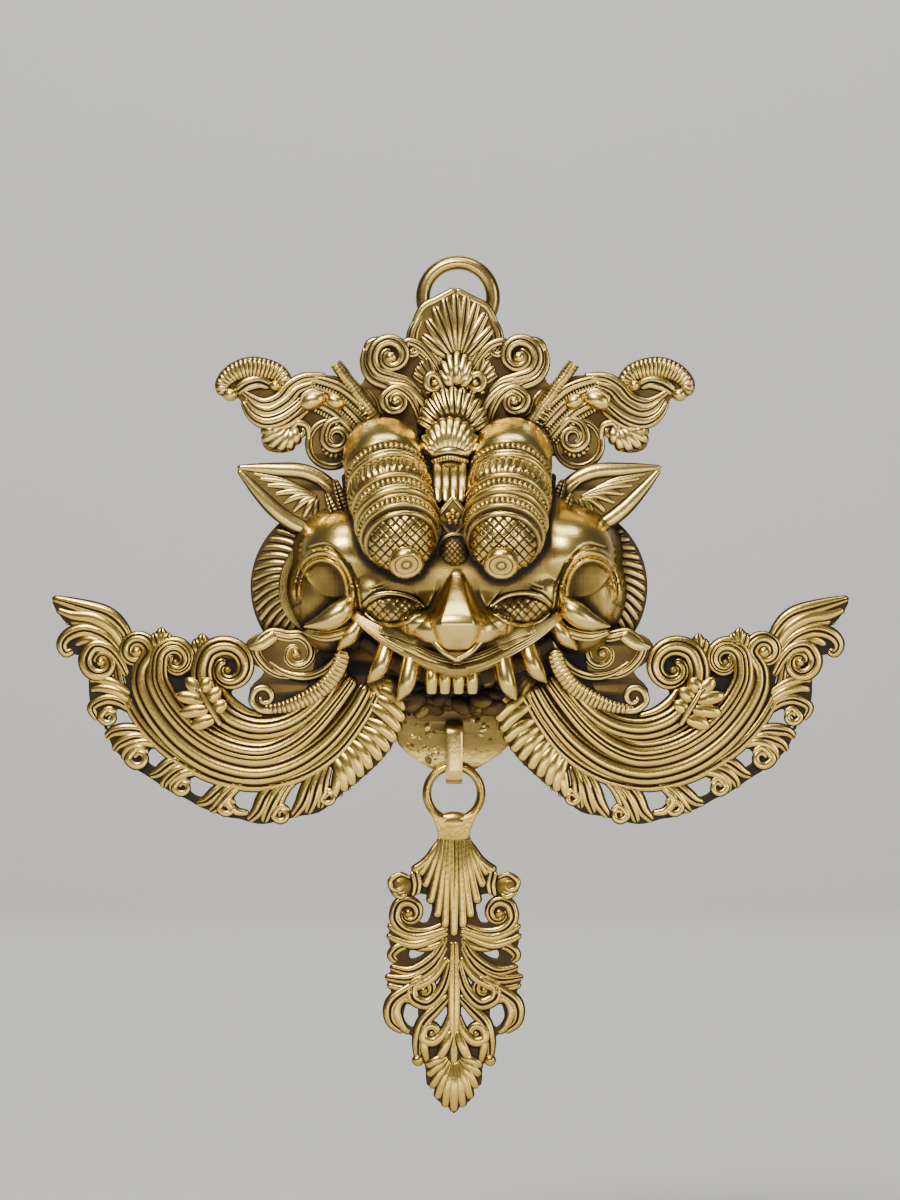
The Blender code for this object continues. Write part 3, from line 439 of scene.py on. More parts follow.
def wing():
    """The right wing: an openwork plate, nested bands, scrolls and a leafy edge."""
    c = Carving()
    outline = [
        (62, 378), (90, 364), (128, 372), (142, 414), (158, 430), (178, 439), (198, 438),
        (217, 426), (211, 414), (205, 402), (208, 386), (222, 376), (238, 380),
        (241, 369), (247, 363), (254, 369), (257, 379), (264, 375), (273, 371),
        (282, 374), (284, 364), (288, 357), (295, 363), (298, 374), (304, 368),
        (313, 365), (324, 368), (335, 346), (350, 339), (380, 332), (395, 327),
        (398, 334), (388, 350), (380, 357), (388, 364), (391, 376), (384, 385),
        (372, 386), (362, 394), (362, 412), (361, 430), (355, 445), (345, 457),
        (341, 470), (335, 481), (325, 490), (315, 499), (302, 507), (290, 515),
        (278, 523), (264, 529), (250, 537), (237, 542), (224, 547), (210, 549),
        (200, 552), (187, 554), (170, 551), (150, 546), (130, 542), (113, 529),
        (105, 521), (95, 514), (85, 506), (74, 496), (64, 485), (56, 473),
        (51, 460), (46, 445), (42, 430), (46, 415), (54, 398),
    ]
    holes = [
        [(328, 402), (335, 385), (343, 390), (350, 403), (340, 413), (325, 416)],
        [(312, 452), (330, 440), (340, 447), (343, 457), (325, 459)],
        [(275, 487), (285, 480), (298, 480), (301, 490), (290, 496)],
        [(232, 511), (250, 507), (260, 511), (257, 521), (246, 525), (238, 518)],
        [(186, 512), (205, 517), (215, 530), (205, 542), (197, 539), (188, 525)],
        [(140, 503), (151, 502), (161, 515), (166, 530), (160, 538), (151, 534), (144, 520)],
        [(113, 492), (119, 498), (122, 510), (117, 514), (113, 504)],
    ]
    plate(c, outline, 0.0, WING_FRONT, holes, 0.7, 1.0)
    low = WING_FRONT - 1.0

    # Nested bands, from the leafy edge inwards
    strand(c, [(72, 420), (88, 449), (111, 479), (140, 500), (170, 511), (200, 514), (234, 507),
               (265, 492), (292, 472), (313, 447), (328, 418), (333, 396), (340, 374)],
           15, TWO, low, (0.7, 0.5))
    strand(c, volute([(82, 413), (98, 441), (121, 469), (149, 490), (178, 501), (206, 502),
                      (240, 492), (270, 472), (293, 446), (307, 420), (308, 400), (299, 384)],
                     (313, 381), 1.05, True, 0.55), 24, THREE, low + 1, (0.62, 0.5))
    strand(c, volute([(96, 405), (116, 432), (139, 458), (164, 476), (191, 484), (224, 478),
                      (254, 461), (277, 437), (291, 412), (292, 392)],
                     (274, 390), 1.25, False, 0.8), 26, FOUR, low + 2, (0.62, 0.42))
    strand(c, [(104, 398), (120, 424), (142, 448), (166, 462), (192, 468), (218, 462),
               (238, 450), (250, 438)], 16, TWO, low + 2, (0.65, 0.6))
    strand(c, volute([(110, 396), (125, 423), (146, 444), (170, 456), (196, 458), (222, 448),
                      (240, 428), (248, 404), (243, 384)], (222, 398), 1.15, False, 0.8),
           23, THREE, low + 3, (0.6, 0.5))
    strand(c, [(246, 378), (254, 392), (255, 412), (250, 424)], 9, ONE, low, (0.6, 0.4))
    strand(c, [(186, 447), (206, 443), (222, 431), (233, 410)], 17, TWO, low + 1, (0.5, 0.5))
    ball(c, (222, 400, low + 2), (5, 5, 5), 16, 10)
    ball(c, (274, 392, low + 2), (4, 4, 5), 16, 10)
    ball(c, (313, 382, low + 1), (7, 7, 7), 20, 12, 0.12)

    # Comb of flutes below the fangs
    for x, down, tip_x, tip_down in (
            (74, 408, 42, 428), (74, 416, 43, 440), (78, 424, 46, 451), (84, 432, 50, 461),
            (86, 448, 54, 471), (90, 456, 61, 481), (95, 462, 69, 490), (101, 468, 79, 499),
            (107, 473, 88, 507), (112, 478, 97, 515), (117, 484, 105, 521)):
        bend = (0.5 * (x + tip_x) - 2, 0.5 * (down + tip_down) - 3)
        strand(c, [(x, down), bend, (tip_x, tip_down)], 16, ONE, low - 1, (0.4, 0.6))
        strand(c, [(x, down + 5), (bend[0] + 2, bend[1] + 5), (tip_x + 4, tip_down + 5)], 7, ONE,
               low - 1, (0.4, 0.6))
    fan(c, (84, 398), arc_tips((84, 398), (38, 36), 190, 262, 6), 9, ONE, low)

    # Feathers at the tip
    strand(c, [(318, 374), (327, 357), (342, 344), (368, 336), (398, 328)], 16, TWO, low)
    strand(c, [(325, 380), (337, 360), (356, 348), (378, 345), (394, 339)], 15, ONE, low)
    strand(c, [(330, 378), (345, 361), (365, 353), (385, 352)], 13, ONE, low - 1, (0.5, 0.35))
    strand(c, [(327, 386), (343, 368), (363, 360), (380, 364), (388, 374), (384, 383),
               (376, 380)], 15, TWO, low, (0.5, 0.5))
    strand(c, [(332, 386), (348, 374), (364, 370), (377, 377)], 13, ONE, low - 1)
    strand(c, volute([(322, 406), (331, 389), (342, 378), (356, 376), (364, 387)],
                     (349, 392), 1.1, True, 0.75), 15, TWO, low + 1, (0.5, 0.5))
    bead(c, 349, 392, low + 3, 5)

    # Leaves of the fringe: strands and a small curl each
    for path, width, section in (
            ([(318, 424), (336, 413), (352, 409), (361, 411)], 7, ONE),
            ([(316, 434), (332, 422), (348, 418), (360, 420)], 7, ONE),
            ([(314, 444), (328, 432), (344, 429), (358, 437), (352, 450)], 7, TWO),
            ([(303, 462), (318, 459), (336, 461), (344, 468)], 8, TWO),
            ([(298, 470), (314, 467), (330, 473), (336, 481)], 8, TWO),
            ([(292, 476), (306, 472), (322, 478), (326, 490)], 7, ONE),
            ([(262, 490), (278, 492), (292, 502), (301, 505)], 8, TWO),
            ([(254, 496), (272, 500), (284, 510), (286, 518)], 8, TWO),
            ([(244, 502), (262, 502), (276, 510), (277, 522)], 7, ONE),
            ([(218, 508), (232, 520), (244, 530), (254, 532)], 8, TWO),
            ([(206, 510), (222, 522), (234, 536), (240, 541)], 9, TWO),
            ([(196, 508), (212, 515), (222, 528), (214, 540), (200, 542)], 7, ONE),
            ([(170, 509), (184, 524), (192, 540), (202, 550)], 9, TWO),
            ([(160, 508), (174, 524), (182, 540), (186, 552)], 9, TWO),
            ([(150, 506), (164, 516), (172, 532), (172, 549)], 8, TWO),
            ([(134, 499), (142, 516), (148, 532), (158, 546)], 9, TWO),
            ([(126, 496), (134, 514), (138, 530), (143, 543)], 9, TWO),
            ([(120, 493), (126, 508), (128, 524), (130, 538)], 8, TWO),
            ([(111, 490), (112, 504), (114, 518), (118, 530)], 7, ONE)):
        strand(c, path, 1.75 * width, section, low, (0.55, 0.5))
    for x, down, radius in ((341, 446, 8), (311, 487, 10), (267, 516, 8), (222, 536, 8),
                            (168, 543, 8), (121, 526, 7)):
        curl = [(x - radius, down - 0.4 * radius), (x, down - radius), (x + radius, down)]
        strand(c, volute(curl, (x, down), 1.1, True, 0.8), 0.95 * radius, ONE, low + 2,
               (0.7, 0.6))

    # Buds between the scrolls and the oak-leaf sprig
    for x, down, top in ((247, 386, 366), (288, 382, 360)):
        ball(c, (x, top + 9, low + 1), (9, 10, 7), 20, 14, 0.3)
        fan(c, (x, down + 4), arc_tips((x, top + 11), (10, 14), -52, 52, 3), 11, PAIR, low + 4)
    for start, tip in (((235, 447), (256, 455)), ((237, 441), (224, 432)),
                       ((241, 438), (267, 442)), ((243, 431), (230, 419)),
                       ((246, 430), (270, 425)), ((249, 422), (240, 409)), ((249, 424), (261, 409))):
        across, below = tip[0] - start[0], tip[1] - start[1]
        ball(c, (0.5 * (start[0] + tip[0]), 0.5 * (start[1] + tip[1]), low + 13),
             (0.62 * hypot(across, below), 7.0, 3.6), 24, 14, 0.08,
             degrees(atan2(below, across)))
        strand(c, [(*start, low + 17), (*tip, low + 13)], 2.4, ONE, 0.0, age=0.6)
    strand(c, [(228, 455), (234, 445), (242, 432), (250, 418)], 6, ONE, low + 16, (0.8, 0.4))

    def lean(corners):
        corners[:, 2] += WING_LEAN * (WING_REST_X - corners[:, 0])
        return corners

    return c.changed(lean)


# Crown

def crown_middle():
    """The stacked palmettes above the brow and the stem that comes down between the stalks."""
    c = Carving()
    low = CROWN_FRONT - 1.0
    fan(c, (3, 96), arc_tips((3, 84), (39, 61), -72, 64, 9), 13, TWO, low, 2, 0.4)
    fan(c, (2, 126), arc_tips((2, 102), (17, 20), -88, 88, 7), 9, ONE, low + 7, 4, 0.6)
    ball(c, (2, 106, low + 9), (7, 13, 8), 24, 14, 0.1)
    fan(c, (0, 170), arc_tips((-2, 160), (37, 43), -76, 76, 11), 12, TWO, low + 14, 6, 0.5)
    stem = Carving()
    for x, down in arc_tips((0, 184), (31, 36), -78, 78, 11):
        strand(stem, [(0.38 * x, 194, 64), (0.66 * x, 0.5 * (184 + down), 66), (x, down, 58)],
               10.5, ONE, 0.0, (0.5, 0.8))
    rod(stem, [(0, 168, 20), (0, 188, 42), (0, 214, 76)], (22, 20, 18), 0.5, 24)
    strand(stem, [(-20, 187, 66), (0, 183, 71), (20, 187, 66)], 9, ONE, 0.0, (0.8, 0.8))
    strand(stem, [(-19, 194, 74), (0, 190, 79), (19, 194, 74)], 6, ONE, 0.0, (0.8, 0.8),
           ticks=3)
    for x in (-12.5, -4.2, 4.2, 12.5):
        strand(stem, [(x, 192, 70), (0.97 * x, 204, 88), (0.95 * x, 218, 100),
                      (0.9 * x, 235, 108)], 9, ONE, 0.0, (0.9, 0.8))
    c.take(stem.changed(shifted(STEM_SHIFT)))
    return c


def crown_side():
    """The right arm of the crown with its scrolls."""
    c = Carving()
    low = CROWN_FRONT - 1.0
    strand(c, volute([(14, 106), (22, 91), (34, 77), (47, 72)], (41, 79), 0.85, True),
           9, TWO, low + 3)
    strand(c, [(30, 40), (37, 52), (42, 64), (41, 75), (28, 88), (17, 98)], 13, THREE, low - 1,
           (0.5, 0.6))
    strand(c, [(0, 20), (18, 30), (31, 37), (38, 48), (43, 60)], 8, ONE, low, (0.8, 0.6))
    fan(c, (17, 120), [(28, 86), (35, 91), (40, 97), (43, 104)], 9, TWO, low + 2)
    fan(c, (22, 146), [(34, 150), (38, 158), (36, 168), (30, 176)], 9, TWO, low + 6)
    for x, down in ((24, 66), (31, 73), (37, 81)):
        strand(c, [(12, 96), (0.5 * (12 + x) - 1, 0.5 * (96 + down)), (x, down)], 7, ONE, low + 1)
    strand(c, volute([(10, 122), (17, 108), (24, 105)], (20, 114), 0.9, True), 8, ONE, low + 9)
    bead(c, 20, 114, low + 11, 4)
    strand(c, [(12, 130), (20, 121), (30, 124)], 8, ONE, low + 8)

    # Upper scroll, its leaf tip and the ridges that run down from it
    strand(c, [(89, 78), (91, 94), (83, 109), (66, 117), (47, 126), (34, 141)], 11, TWO, low + 3,
           (0.5, 0.6))
    strand(c, [(83, 92), (77, 105), (61, 111), (43, 118), (30, 134)], 11, TWO, low + 4,
           (0.5, 0.6))
    strand(c, volute([(34, 124), (46, 112), (62, 107), (76, 102), (82, 90), (78, 77), (67, 71)],
                     (64, 87), 1.05, False, 0.72), 13, TWO, low + 5, (0.4, 0.6))
    strand(c, [(70, 70), (80, 71), (87, 76), (90, 88)], 8, ONE, low + 2, (0.6, 0.4))
    ball(c, (64, 88, low + 6), (6.5, 6.5, 5), 18, 12, 0.1)
    strand(c, [(38, 76), (46, 84), (52, 78), (56, 68)], 6, ONE, low + 1)
    # Lower scroll in its dark hollow
    strand(c, volute([(34, 156), (37, 142), (45, 127), (58, 119), (70, 126)], (59, 132),
                     1.15, True, 0.7), 10, TWO, low + 7, (0.7, 0.6))
    ball(c, (59, 132, low + 7), (5, 5, 4), 16, 10, 0.1)
    strand(c, [(26, 154), (29, 140), (37, 127), (50, 117), (68, 114)], 9, ONE, low + 6,
           (0.7, 0.4))
    strand(c, [(60, 150), (74, 144), (80, 130), (92, 116)], 8, TWO, low, (0.5, 0.5))

    # Squared rod that crosses behind
    rod(c, [(76, 152, low + 2), (98, 122, low + 4), (119, 94, low + 5)], (7.0, 6.6, 6.4), 0.1, 8,
        hatch=4.0)
    for k in range(5):
        strand(c, [(80 + 2.6 * k, 152 - 5 * k), (88 + 2.6 * k, 156 - 5 * k)], 3, ONE, low + 7)

    # Arm: fanned ribs, two knobs and the wave to the swirl
    for k in range(6):
        start = (146 + 1.0 * k, 108 + 5.0 * k)
        end = (82 + 3.0 * k, 146 + 6.0 * k)
        middle = (112 + 1.6 * k, 119 + 6.2 * k)
        strand(c, [start, middle, end], 10, TWO, low + 3 - 0.3 * k, (0.8, 0.7),
               ticks=3.2 if k % 2 else 0.0)
    ball(c, (142, 131, low + 4), (14, 10, 8), 24, 14, 0.1, 20)
    ball(c, (119, 132, low + 4), (11, 8, 7), 22, 12, 0.1, -30)
    strand(c, [(130, 124), (142, 121), (153, 128), (150, 138)], 5, ONE, low + 7)
    strand(c, [(128, 107), (150, 108), (165, 116), (176, 128), (190, 133), (203, 128),
               (214, 120)], 12, TWO, low + 3, (0.6, 0.4))
    strand(c, [(138, 114), (156, 120), (168, 132), (184, 141), (198, 138), (209, 127)], 13, TWO,
           low + 3, (0.6, 0.4))
    strand(c, [(146, 124), (158, 138), (174, 149), (190, 152), (203, 145), (212, 131)], 16, THREE,
           low + 2, (0.6, 0.4))
    strand(c, [(182, 118), (194, 112), (208, 115), (220, 124)], 17, TWO, low, (0.6, 0.6))
    crest = [(178, 122), (170, 113), (176, 104), (190, 99), (206, 98), (222, 104), (232, 115),
             (229, 126)]
    strand(c, crest, 21, SLAB, low + 1, (0.5, 0.55), ticks=4.2, cut_depth=0.12)
    ball(c, (179, 116, low + 5), (6, 6, 6), 16, 10, 0.1)
    ball(c, (224, 125, low + 3), (8, 7, 7), 20, 12, 0.1)
    # Small trefoil
    strand(c, [(146, 138), (158, 147), (172, 155), (190, 160)], 14, TWO, low + 1)
    strand(c, volute([(146, 172), (147, 157), (157, 153)], (155, 161), 0.9, True), 8, ONE, low + 2)
    fan(c, (160, 152), [(194, 163), (193, 172), (186, 179), (176, 183), (166, 182), (158, 176)],
        12, ONE, low, 1, 0.4)
    ball(c, (184, 161, low + 1), (9, 7, 6), 18, 12, 0.15)

    # Lower whorl: a ring, a spiral and shell ribs inside
    ring = [(123 + 23 * cos(a), 174 + 23 * sin(a)) for a in np.linspace(-2.4, 3.6, 18)]
    strand(c, ring, 8, TWO, low + 1, (0.7, 0.7))
    strand(c, volute([(104, 158), (114, 150), (126, 154), (131, 166)], (118, 168), 1.3, True),
           10, TWO, low + 3)
    ball(c, (121, 176, low - 5), (19, 19, 10), 24, 12, 0.55)
    fan(c, (118, 172), arc_tips((120, 174), (16, 16), 70, 230, 8), 6.5, ONE, low + 1)
    return c


CROWN_OUTLINE = [
    (0, 18), (20, 28), (30, 34), (34, 36), (39, 46), (45, 58), (49, 74), (58, 72), (68, 76),
    (86, 73), (88, 100), (96, 116), (120, 106), (145, 108), (157, 115), (168, 118),
    (174, 106), (185, 99), (195, 97), (215, 101), (233, 110), (236, 122), (226, 131),
    (217, 128), (210, 138), (200, 148), (190, 154), (185, 162), (192, 173), (188, 180),
    (177, 183), (165, 181), (157, 172), (149, 166), (147, 180), (139, 192), (124, 198),
    (110, 195), (98, 186), (80, 203), (40, 199), (0, 197),
]


# Face

TEETH_X = (-25.0, -12.0, 1.5, 15.0)
CRUST_SEED = 11                # for the crust behind the teeth
CAST_SEED = 5                  # for the rough cast of the jaw plate
CORE = ((0, 292, 8), (148, 104, 112))
HOLLOW = ((0, 292, -3), (135.6, 91.6, 99.6))
HOLLOW_CLEARANCE = 1.02        # how far out of the hollow things are laid, in its radii
MUZZLE = ((0, 345, 26), (104, 55, 98))
CHEEK = ((108, 286, 46), (49, 46, 54))
BROW = ((82, 322, 60), (34, 26, 42))
NOSTRIL = ((33, 353, 104), (25, 15, 34))
UPPER_LIP = ((0, 366, 62), (84, 28, 52))
OUTER_CHEEK = ((130, 320, 10), (41, 54, 48))
FORMS = (CORE, MUZZLE, CHEEK, BROW, NOSTRIL, UPPER_LIP, OUTER_CHEEK)
SKIN_SIDE = 172.0              # squares from the middle line to the skin's edge
SKIN_TOP, SKIN_FOOT = 188.0, 408.0
SKIN_COLUMNS, SKIN_ROWS = 137, 185
SKIN_BLEND = 3.2               # squares over which the forms run into each other
COLLAR_X, COLLAR_DOWN, COLLAR_RADIUS = 113.0, 317.0, 85.0
COLLAR_FLUTES = 19
PIT_CENTRE = (133, 321)
PIT_RADII = (22, 28)


def out_of_hollow(corners):
    """What would reach into the hollow is laid against its wall."""
    centre, radii = (np.array(v, float) for v in HOLLOW)
    from_centre = corners - centre
    far = np.linalg.norm(from_centre / radii, axis=1)
    inside = far < HOLLOW_CLEARANCE
    push = HOLLOW_CLEARANCE / np.maximum(far[inside], 0.05)
    corners[inside] = centre + from_centre[inside] * push[:, None]
    return corners


def swell(x, down, form):
    """The height of an ellipsoid over the wall, far below it where it isn't."""
    centre, radii = form
    room = 1.0 - ((x - centre[0]) / radii[0]) ** 2 - ((down - centre[1]) / radii[1]) ** 2
    edge = np.where(room > 0, 0.0, 60.0 * room)
    return centre[2] + radii[2] * np.sqrt(np.clip(room, 0.0, 1.0)) + edge


def eased(down, levels, values):
    """Values between the levels, with their corners rounded."""
    fine = np.arange(levels[0] - 20.0, levels[-1] + 20.0)
    weights = np.hanning(13)
    table = np.convolve(np.interp(fine, levels, values), weights / weights.sum(), "same")
    return np.interp(down, fine, table)


def nose_bridge(x, down):
    """A ridge that widens downwards, turns under at the tip and has steep flanks."""
    levels = [290, 300, 308, 320, 334, 346, 354, 366, 378, 388, 394]
    widths = eased(down, levels, [2, 4, 8, 11, 15, 20, 22.5, 21, 15, 8, 4])
    crests = eased(down, levels, [100, 112, 122, 136, 149, 158, 160, 154, 142, 126, 106])
    off = np.abs(x) / widths
    flank = 0.12 * off ** 2 + 1.9 * np.clip(off - 0.7, 0.0, None) ** 1.5
    outside = (down < 300.0) | (down > 394.0)
    return np.where(outside, -50.0, crests - 20.0 * flank)


def blended(heights):
    """The highest of several surfaces, with rounded inner corners."""
    stack = np.stack(heights)
    top = stack.max(0)
    return top + SKIN_BLEND * np.log(np.exp((stack - top) / SKIN_BLEND).sum(0))


def line_cut(x, down, points, width):
    """How deep a place lies in a cut along the points, from 0 to 1."""
    path, _ = evenly(smooth(points, 10), 1.0)
    best = np.full(x.shape, 99.0)
    for px, pd in path[:, :2]:
        best = np.minimum(best, np.hypot(x - px, down - pd))
    return np.clip(1.0 - best / width, 0.0, 1.0) ** 0.7


def skin_height(x, down):
    """The face without its stalks: height and shade at places on its right half."""
    forms = [swell(x, down, form) for form in FORMS]
    height = blended(forms + [nose_bridge(x, down)])
    shade = np.full(x.shape, 0.12)
    # Painted shade in the recess between the stalks, above the nose
    shade += 0.35 * np.clip((300.0 - down) / 14.0, 0, 1) * np.clip((60.0 - x) / 20.0, 0, 1)

    # Painted shade on the underside of the nose tip
    under_nose = np.clip((down - 352.0) / 16.0, 0, 1) * np.clip((22.0 - x) / 4.0, 0, 1)
    shade += 0.14 * under_nose * (down < 400.0)
    beside = np.clip((x - 24.0) / 8.0, 0, 1) * np.clip((down - 350.0) / 26.0, 0, 1)
    shade += 0.22 * beside + 0.2 * np.clip((x - 138.0) / 10.0, 0, 1)

    # The pit with its two rims, which are open at the lower right
    across, below = (x - PIT_CENTRE[0]) / PIT_RADII[0], (down - PIT_CENTRE[1]) / PIT_RADII[1]
    far = np.hypot(across, below)
    turn = np.degrees(np.arctan2(across, -below))
    open_side = np.clip((np.abs(turn - 150.0) - 35.0) / 25.0, 0.0, 1.0)
    rim_level = 76.0 + 20.0 * np.clip(-0.5 * across - 0.3 * below, -1.0, 1.0)
    floor = rim_level - 15.0 * np.sqrt(np.clip(1.0 - far ** 2, 0.0, 1.0)) + 60.0 * (far > 1.0)
    height = np.where(far < 1.0, np.minimum(height, floor), height)
    shade = np.where(far < 1.0, 0.26 + 0.1 * np.sqrt(np.clip(1.0 - far, 0, 1)), shade)
    for place, half, rise in ((1.10, 0.10, 5.0), (1.36, 0.14, 6.0)):
        rim = np.sqrt(np.clip(1.0 - ((far - place) / half) ** 2, 0.0, 1.0)) * open_side
        height += rise * rim
        shade = np.where(rim > 0.02, 0.7 - 0.6 * rim, shade)

    # The lower eye: an almond with crossed cuts between its lids
    along, off = (x - 63.0) / 29.0, (down - 339.0 - 0.05 * (x - 63.0)) / 12.5
    almond = 1.0 - along ** 2 - np.abs(off) ** 1.6
    inside = almond > 0.0
    ball_rise = 7.0 * np.sqrt(np.clip(almond, 0.0, 1.0))
    cuts = np.zeros(x.shape)
    for lean in (0.9, -0.9):
        wave = np.abs(np.sin(pi * (x + lean * down) / 8.6))
        cuts = np.maximum(cuts, np.clip(1.0 - 2.4 * wave, 0.0, 1.0))
    height = np.where(inside, height + ball_rise - 1.6 * cuts, height)
    shade = np.where(inside, 0.18 + 0.75 * cuts, shade)
    edge = np.clip(1.0 - np.abs(almond) / 0.13, 0.0, 1.0)
    height -= 1.5 * edge
    shade = np.maximum(shade, 0.95 * edge)
    return height, shade


def skin():
    """The face's skin as a sheet over its right half, where it stands clear of the core."""
    c = Carving()
    x, down = np.meshgrid(np.linspace(0.0, SKIN_SIDE, SKIN_COLUMNS),
                          np.linspace(SKIN_TOP, SKIN_FOOT, SKIN_ROWS))
    height, shade = skin_height(x, down)
    for points, width, depth in (
            ([(30, 339), (44, 325), (63, 319), (82, 323), (94, 333)], 1.9, 2.0),
            ([(34, 334), (46, 321), (64, 315), (84, 319)], 1.6, 1.6),
            ([(48, 362), (50, 350), (44, 343), (30, 338), (22, 326), (18, 312)], 1.6, 1.8),
            ([(96, 352), (98, 334), (102, 312), (112, 290), (128, 276), (146, 279)], 2.0, 2.4),
            ([(92, 356), (93, 338), (97, 316), (106, 294)], 1.4, 1.4)):
        cut = line_cut(x, down, points, width)
        height -= depth * cut
        shade = np.maximum(shade, 0.9 * cut)
    floor = swell(x, down, CORE) - 4.0
    kept = (height > np.maximum(floor, 22.0)).ravel()
    faces = grid_quads(SKIN_ROWS, SKIN_COLUMNS)[:, ::-1]
    faces = faces[kept[faces].any(1)]
    used = np.unique(faces)
    renumber = np.zeros(x.size, int)
    renumber[used] = np.arange(len(used))
    corners = np.stack([x, down, np.maximum(height, 6.0)], -1).reshape(-1, 3)[used]
    c.add(corners, shade.ravel()[used], renumber[faces])
    return c


def on_face(points, lift=0.0):
    """The points again, laid on the face's forms."""
    places = np.array(points, float)
    heights, _ = skin_height(places[:, 0], places[:, 1])
    return [(x, down, height + lift) for (x, down), height in zip(points, heights)]


# How far the back end and the ball of each stalk stand from the middle line: they lean unequally
EYE_STALKS = {"eye_stalk_right": (54.0, 45.5), "eye_stalk_left": (-73.0, -55.0)}
STALK_BACK_DOWN, STALK_BACK_OUT = 190.0, 45.0
STALK_BALL_DOWN, STALK_BALL_OUT = 270.0, 141.5
BALL_AT = 126.0                # squares along the stalk
BALL_RADIUS = 33.4


def stalk_outline():
    """Dome, seven rings, the ball's socket, the ball and its cap, from the front back."""
    points = []
    for a in np.radians(np.linspace(0, 88, 5)):
        points.append((3.4 * sin(a), 168.0 + 1.2 * cos(a), 0.2))
    points += [(3.8, 167.6, 0.9), (7.5, 167.8, 0.3), (10.6, 168.2, 0.1), (11.2, 167.4, 0.9),
               (12.2, 168.6, 0.2), (14.6, 169.0, 0.0), (16.4, 167.0, 0.1), (16.8, 163.0, 0.2),
               (16.2, 158.0, 0.4), (14.5, 155.8, 1.0)]
    for a in np.radians(np.linspace(28, 84, 24)):
        points.append((31 * sin(a), BALL_AT + 31 * cos(a), 0.2))
    rings = [(129.0, 36.6, 3.6, 2), (120.8, 40.0, 2.4, 2), (113.4, 41.0, 4.4, 2),
             (105.6, 39.5, 2.2, 2), (98.0, 42.6, 4.8, 2), (90.6, 39.5, 2.0, 2),
             (83.8, 41.6, 4.4, 2), (75.6, 42.2, 3.0, 2), (59.0, 43.6, 11.4, 4),
             (43.4, 42.6, 3.6, 2), (36.2, 40.6, 2.4, 2), (28.4, 42.0, 4.2, 2)]
    for place, radius, half, power in rings:
        deep = min(4.6, half + 0.6)
        for step in np.linspace(1.0, -1.0, 9):
            bulge = (1.0 - abs(step) ** power) ** 0.5
            points.append((radius - deep * (1.0 - bulge), place + half * step,
                           1.15 * (1.0 - bulge) ** 0.8))
    points += [(38.6, 22.5, 1.0), (40.5, 20.5, 0.2), (41.0, 8.0, 0.05), (40.5, -4.0, 0.05),
               (38.0, -15.0, 0.05), (34.5, -23.0, 0.05), (29.0, -29.0, 0.1), (22.0, -34.0, 0.2),
               (14.0, -38.5, 0.4), (0.0, -41.0, 0.6)]
    return points


def hatched(grooves, depth, dark):
    """A shape for a ball: two crossing sets of fine cuts on its front."""
    def shape(corners, shades, unit):
        cut = np.zeros(len(corners))
        for lean in (1.0, -1.0):
            wave = np.abs(np.sin(pi * grooves * (unit[:, 0] + lean * unit[:, 1])))
            cut = np.maximum(cut, np.clip(1.15 - 2.6 * wave, 0.0, 1.0))
        centre = corners.mean(axis=0)
        pull = (corners - centre)
        pull /= np.maximum(np.linalg.norm(pull, axis=1), 1e-6)[:, None]
        return corners - depth * cut[:, None] * pull, np.clip(shades + dark * cut, 0, 1)
    return shape




def eye_stalk(back_x, ball_x):
    """A stalk, with its crosshatched ball and its cap."""
    c = Carving()
    back = Vector((back_x, STALK_BACK_DOWN, STALK_BACK_OUT))
    along = Vector((ball_x, STALK_BALL_DOWN, STALK_BALL_OUT)) - back
    place = Matrix.Translation(back) @ along.to_track_quat("Z", "Y").to_matrix().to_4x4()
    lathe(c, stalk_outline(), 184, place, beads=((113.4, 4.4, 46, 2.2), (83.8, 4.4, 46, 2.2),
                                                 (28.4, 4.2, 46, 2.2)),
          gadroons=((59.0, 11.0, 36, 3.0),))
    centre = place @ Vector((0, 0, BALL_AT))
    ball(c, tuple(centre), (BALL_RADIUS,) * 3, 190, 100, 0.08, 0.0, hatched(3.3, 1.5, 0.95))
    return c


def face_ornament():
    """The round boss and the diamond between the stalks."""
    c = Carving()
    # The boss is darker than the other balls: painted shade of its place between the stalks
    ball(c, (-2, 283, 116), (15, 15, 13), 60, 40, 0.4, 0.0, hatched(2.4, 1.2, 0.4))
    ring = [(-2 + 17.5 * cos(a), 283 + 17.5 * sin(a)) for a in np.linspace(0, 2 * pi, 20)]
    strand(c, ring, 4, ONE, 117, (1.0, 1.0))
    teeth(c)
    diamond = Carving()
    diamond_between(diamond)
    c.take(diamond.changed(shifted(DIAMOND_SHIFT)))
    return c


def teeth(c):
    """The four front teeth and the rough dark crust behind and below them."""
    for x in TEETH_X:
        rod(c, [(x, 394, 96), (x, 408, 101), (x, 421, 98)], (6.2, 6.2, 5.0), 0.12, 18, 1.2)
    lumps = np.random.default_rng(CRUST_SEED)
    for _ in range(46):
        x, down = lumps.uniform(-48, 44), lumps.uniform(414, 440)
        reach = lumps.uniform(7.0, 15.0)
        ball(c, (x, down, lumps.uniform(42, 52)), (reach, 0.6 * reach, 0.6 * reach), 12, 8,
             lumps.uniform(0.7, 1.0), lumps.uniform(-50, 50))


def diamond_between(c):
    """The framed flower on the stem's foot."""
    plate(c, [(0, 229), (16, 249), (0, 269), (-16, 249)], 70, 114, (), 0.5)
    corners = [(0, 229), (16, 249), (0, 269), (-16, 249), (0, 229)]
    for a, b in zip(corners, corners[1:]):
        strand(c, [a, b], 5, ONE, 114, (0.9, 0.9))
    for k in range(5):
        angle = 2 * pi * k / 5 - 0.5 * pi
        ball(c, (5.4 * cos(angle), 249 + 5.4 * sin(angle), 115), (3.8, 3.8, 2.6), 10, 8, 0.2)
    bead(c, 0, 249, 116.5, 2.4)


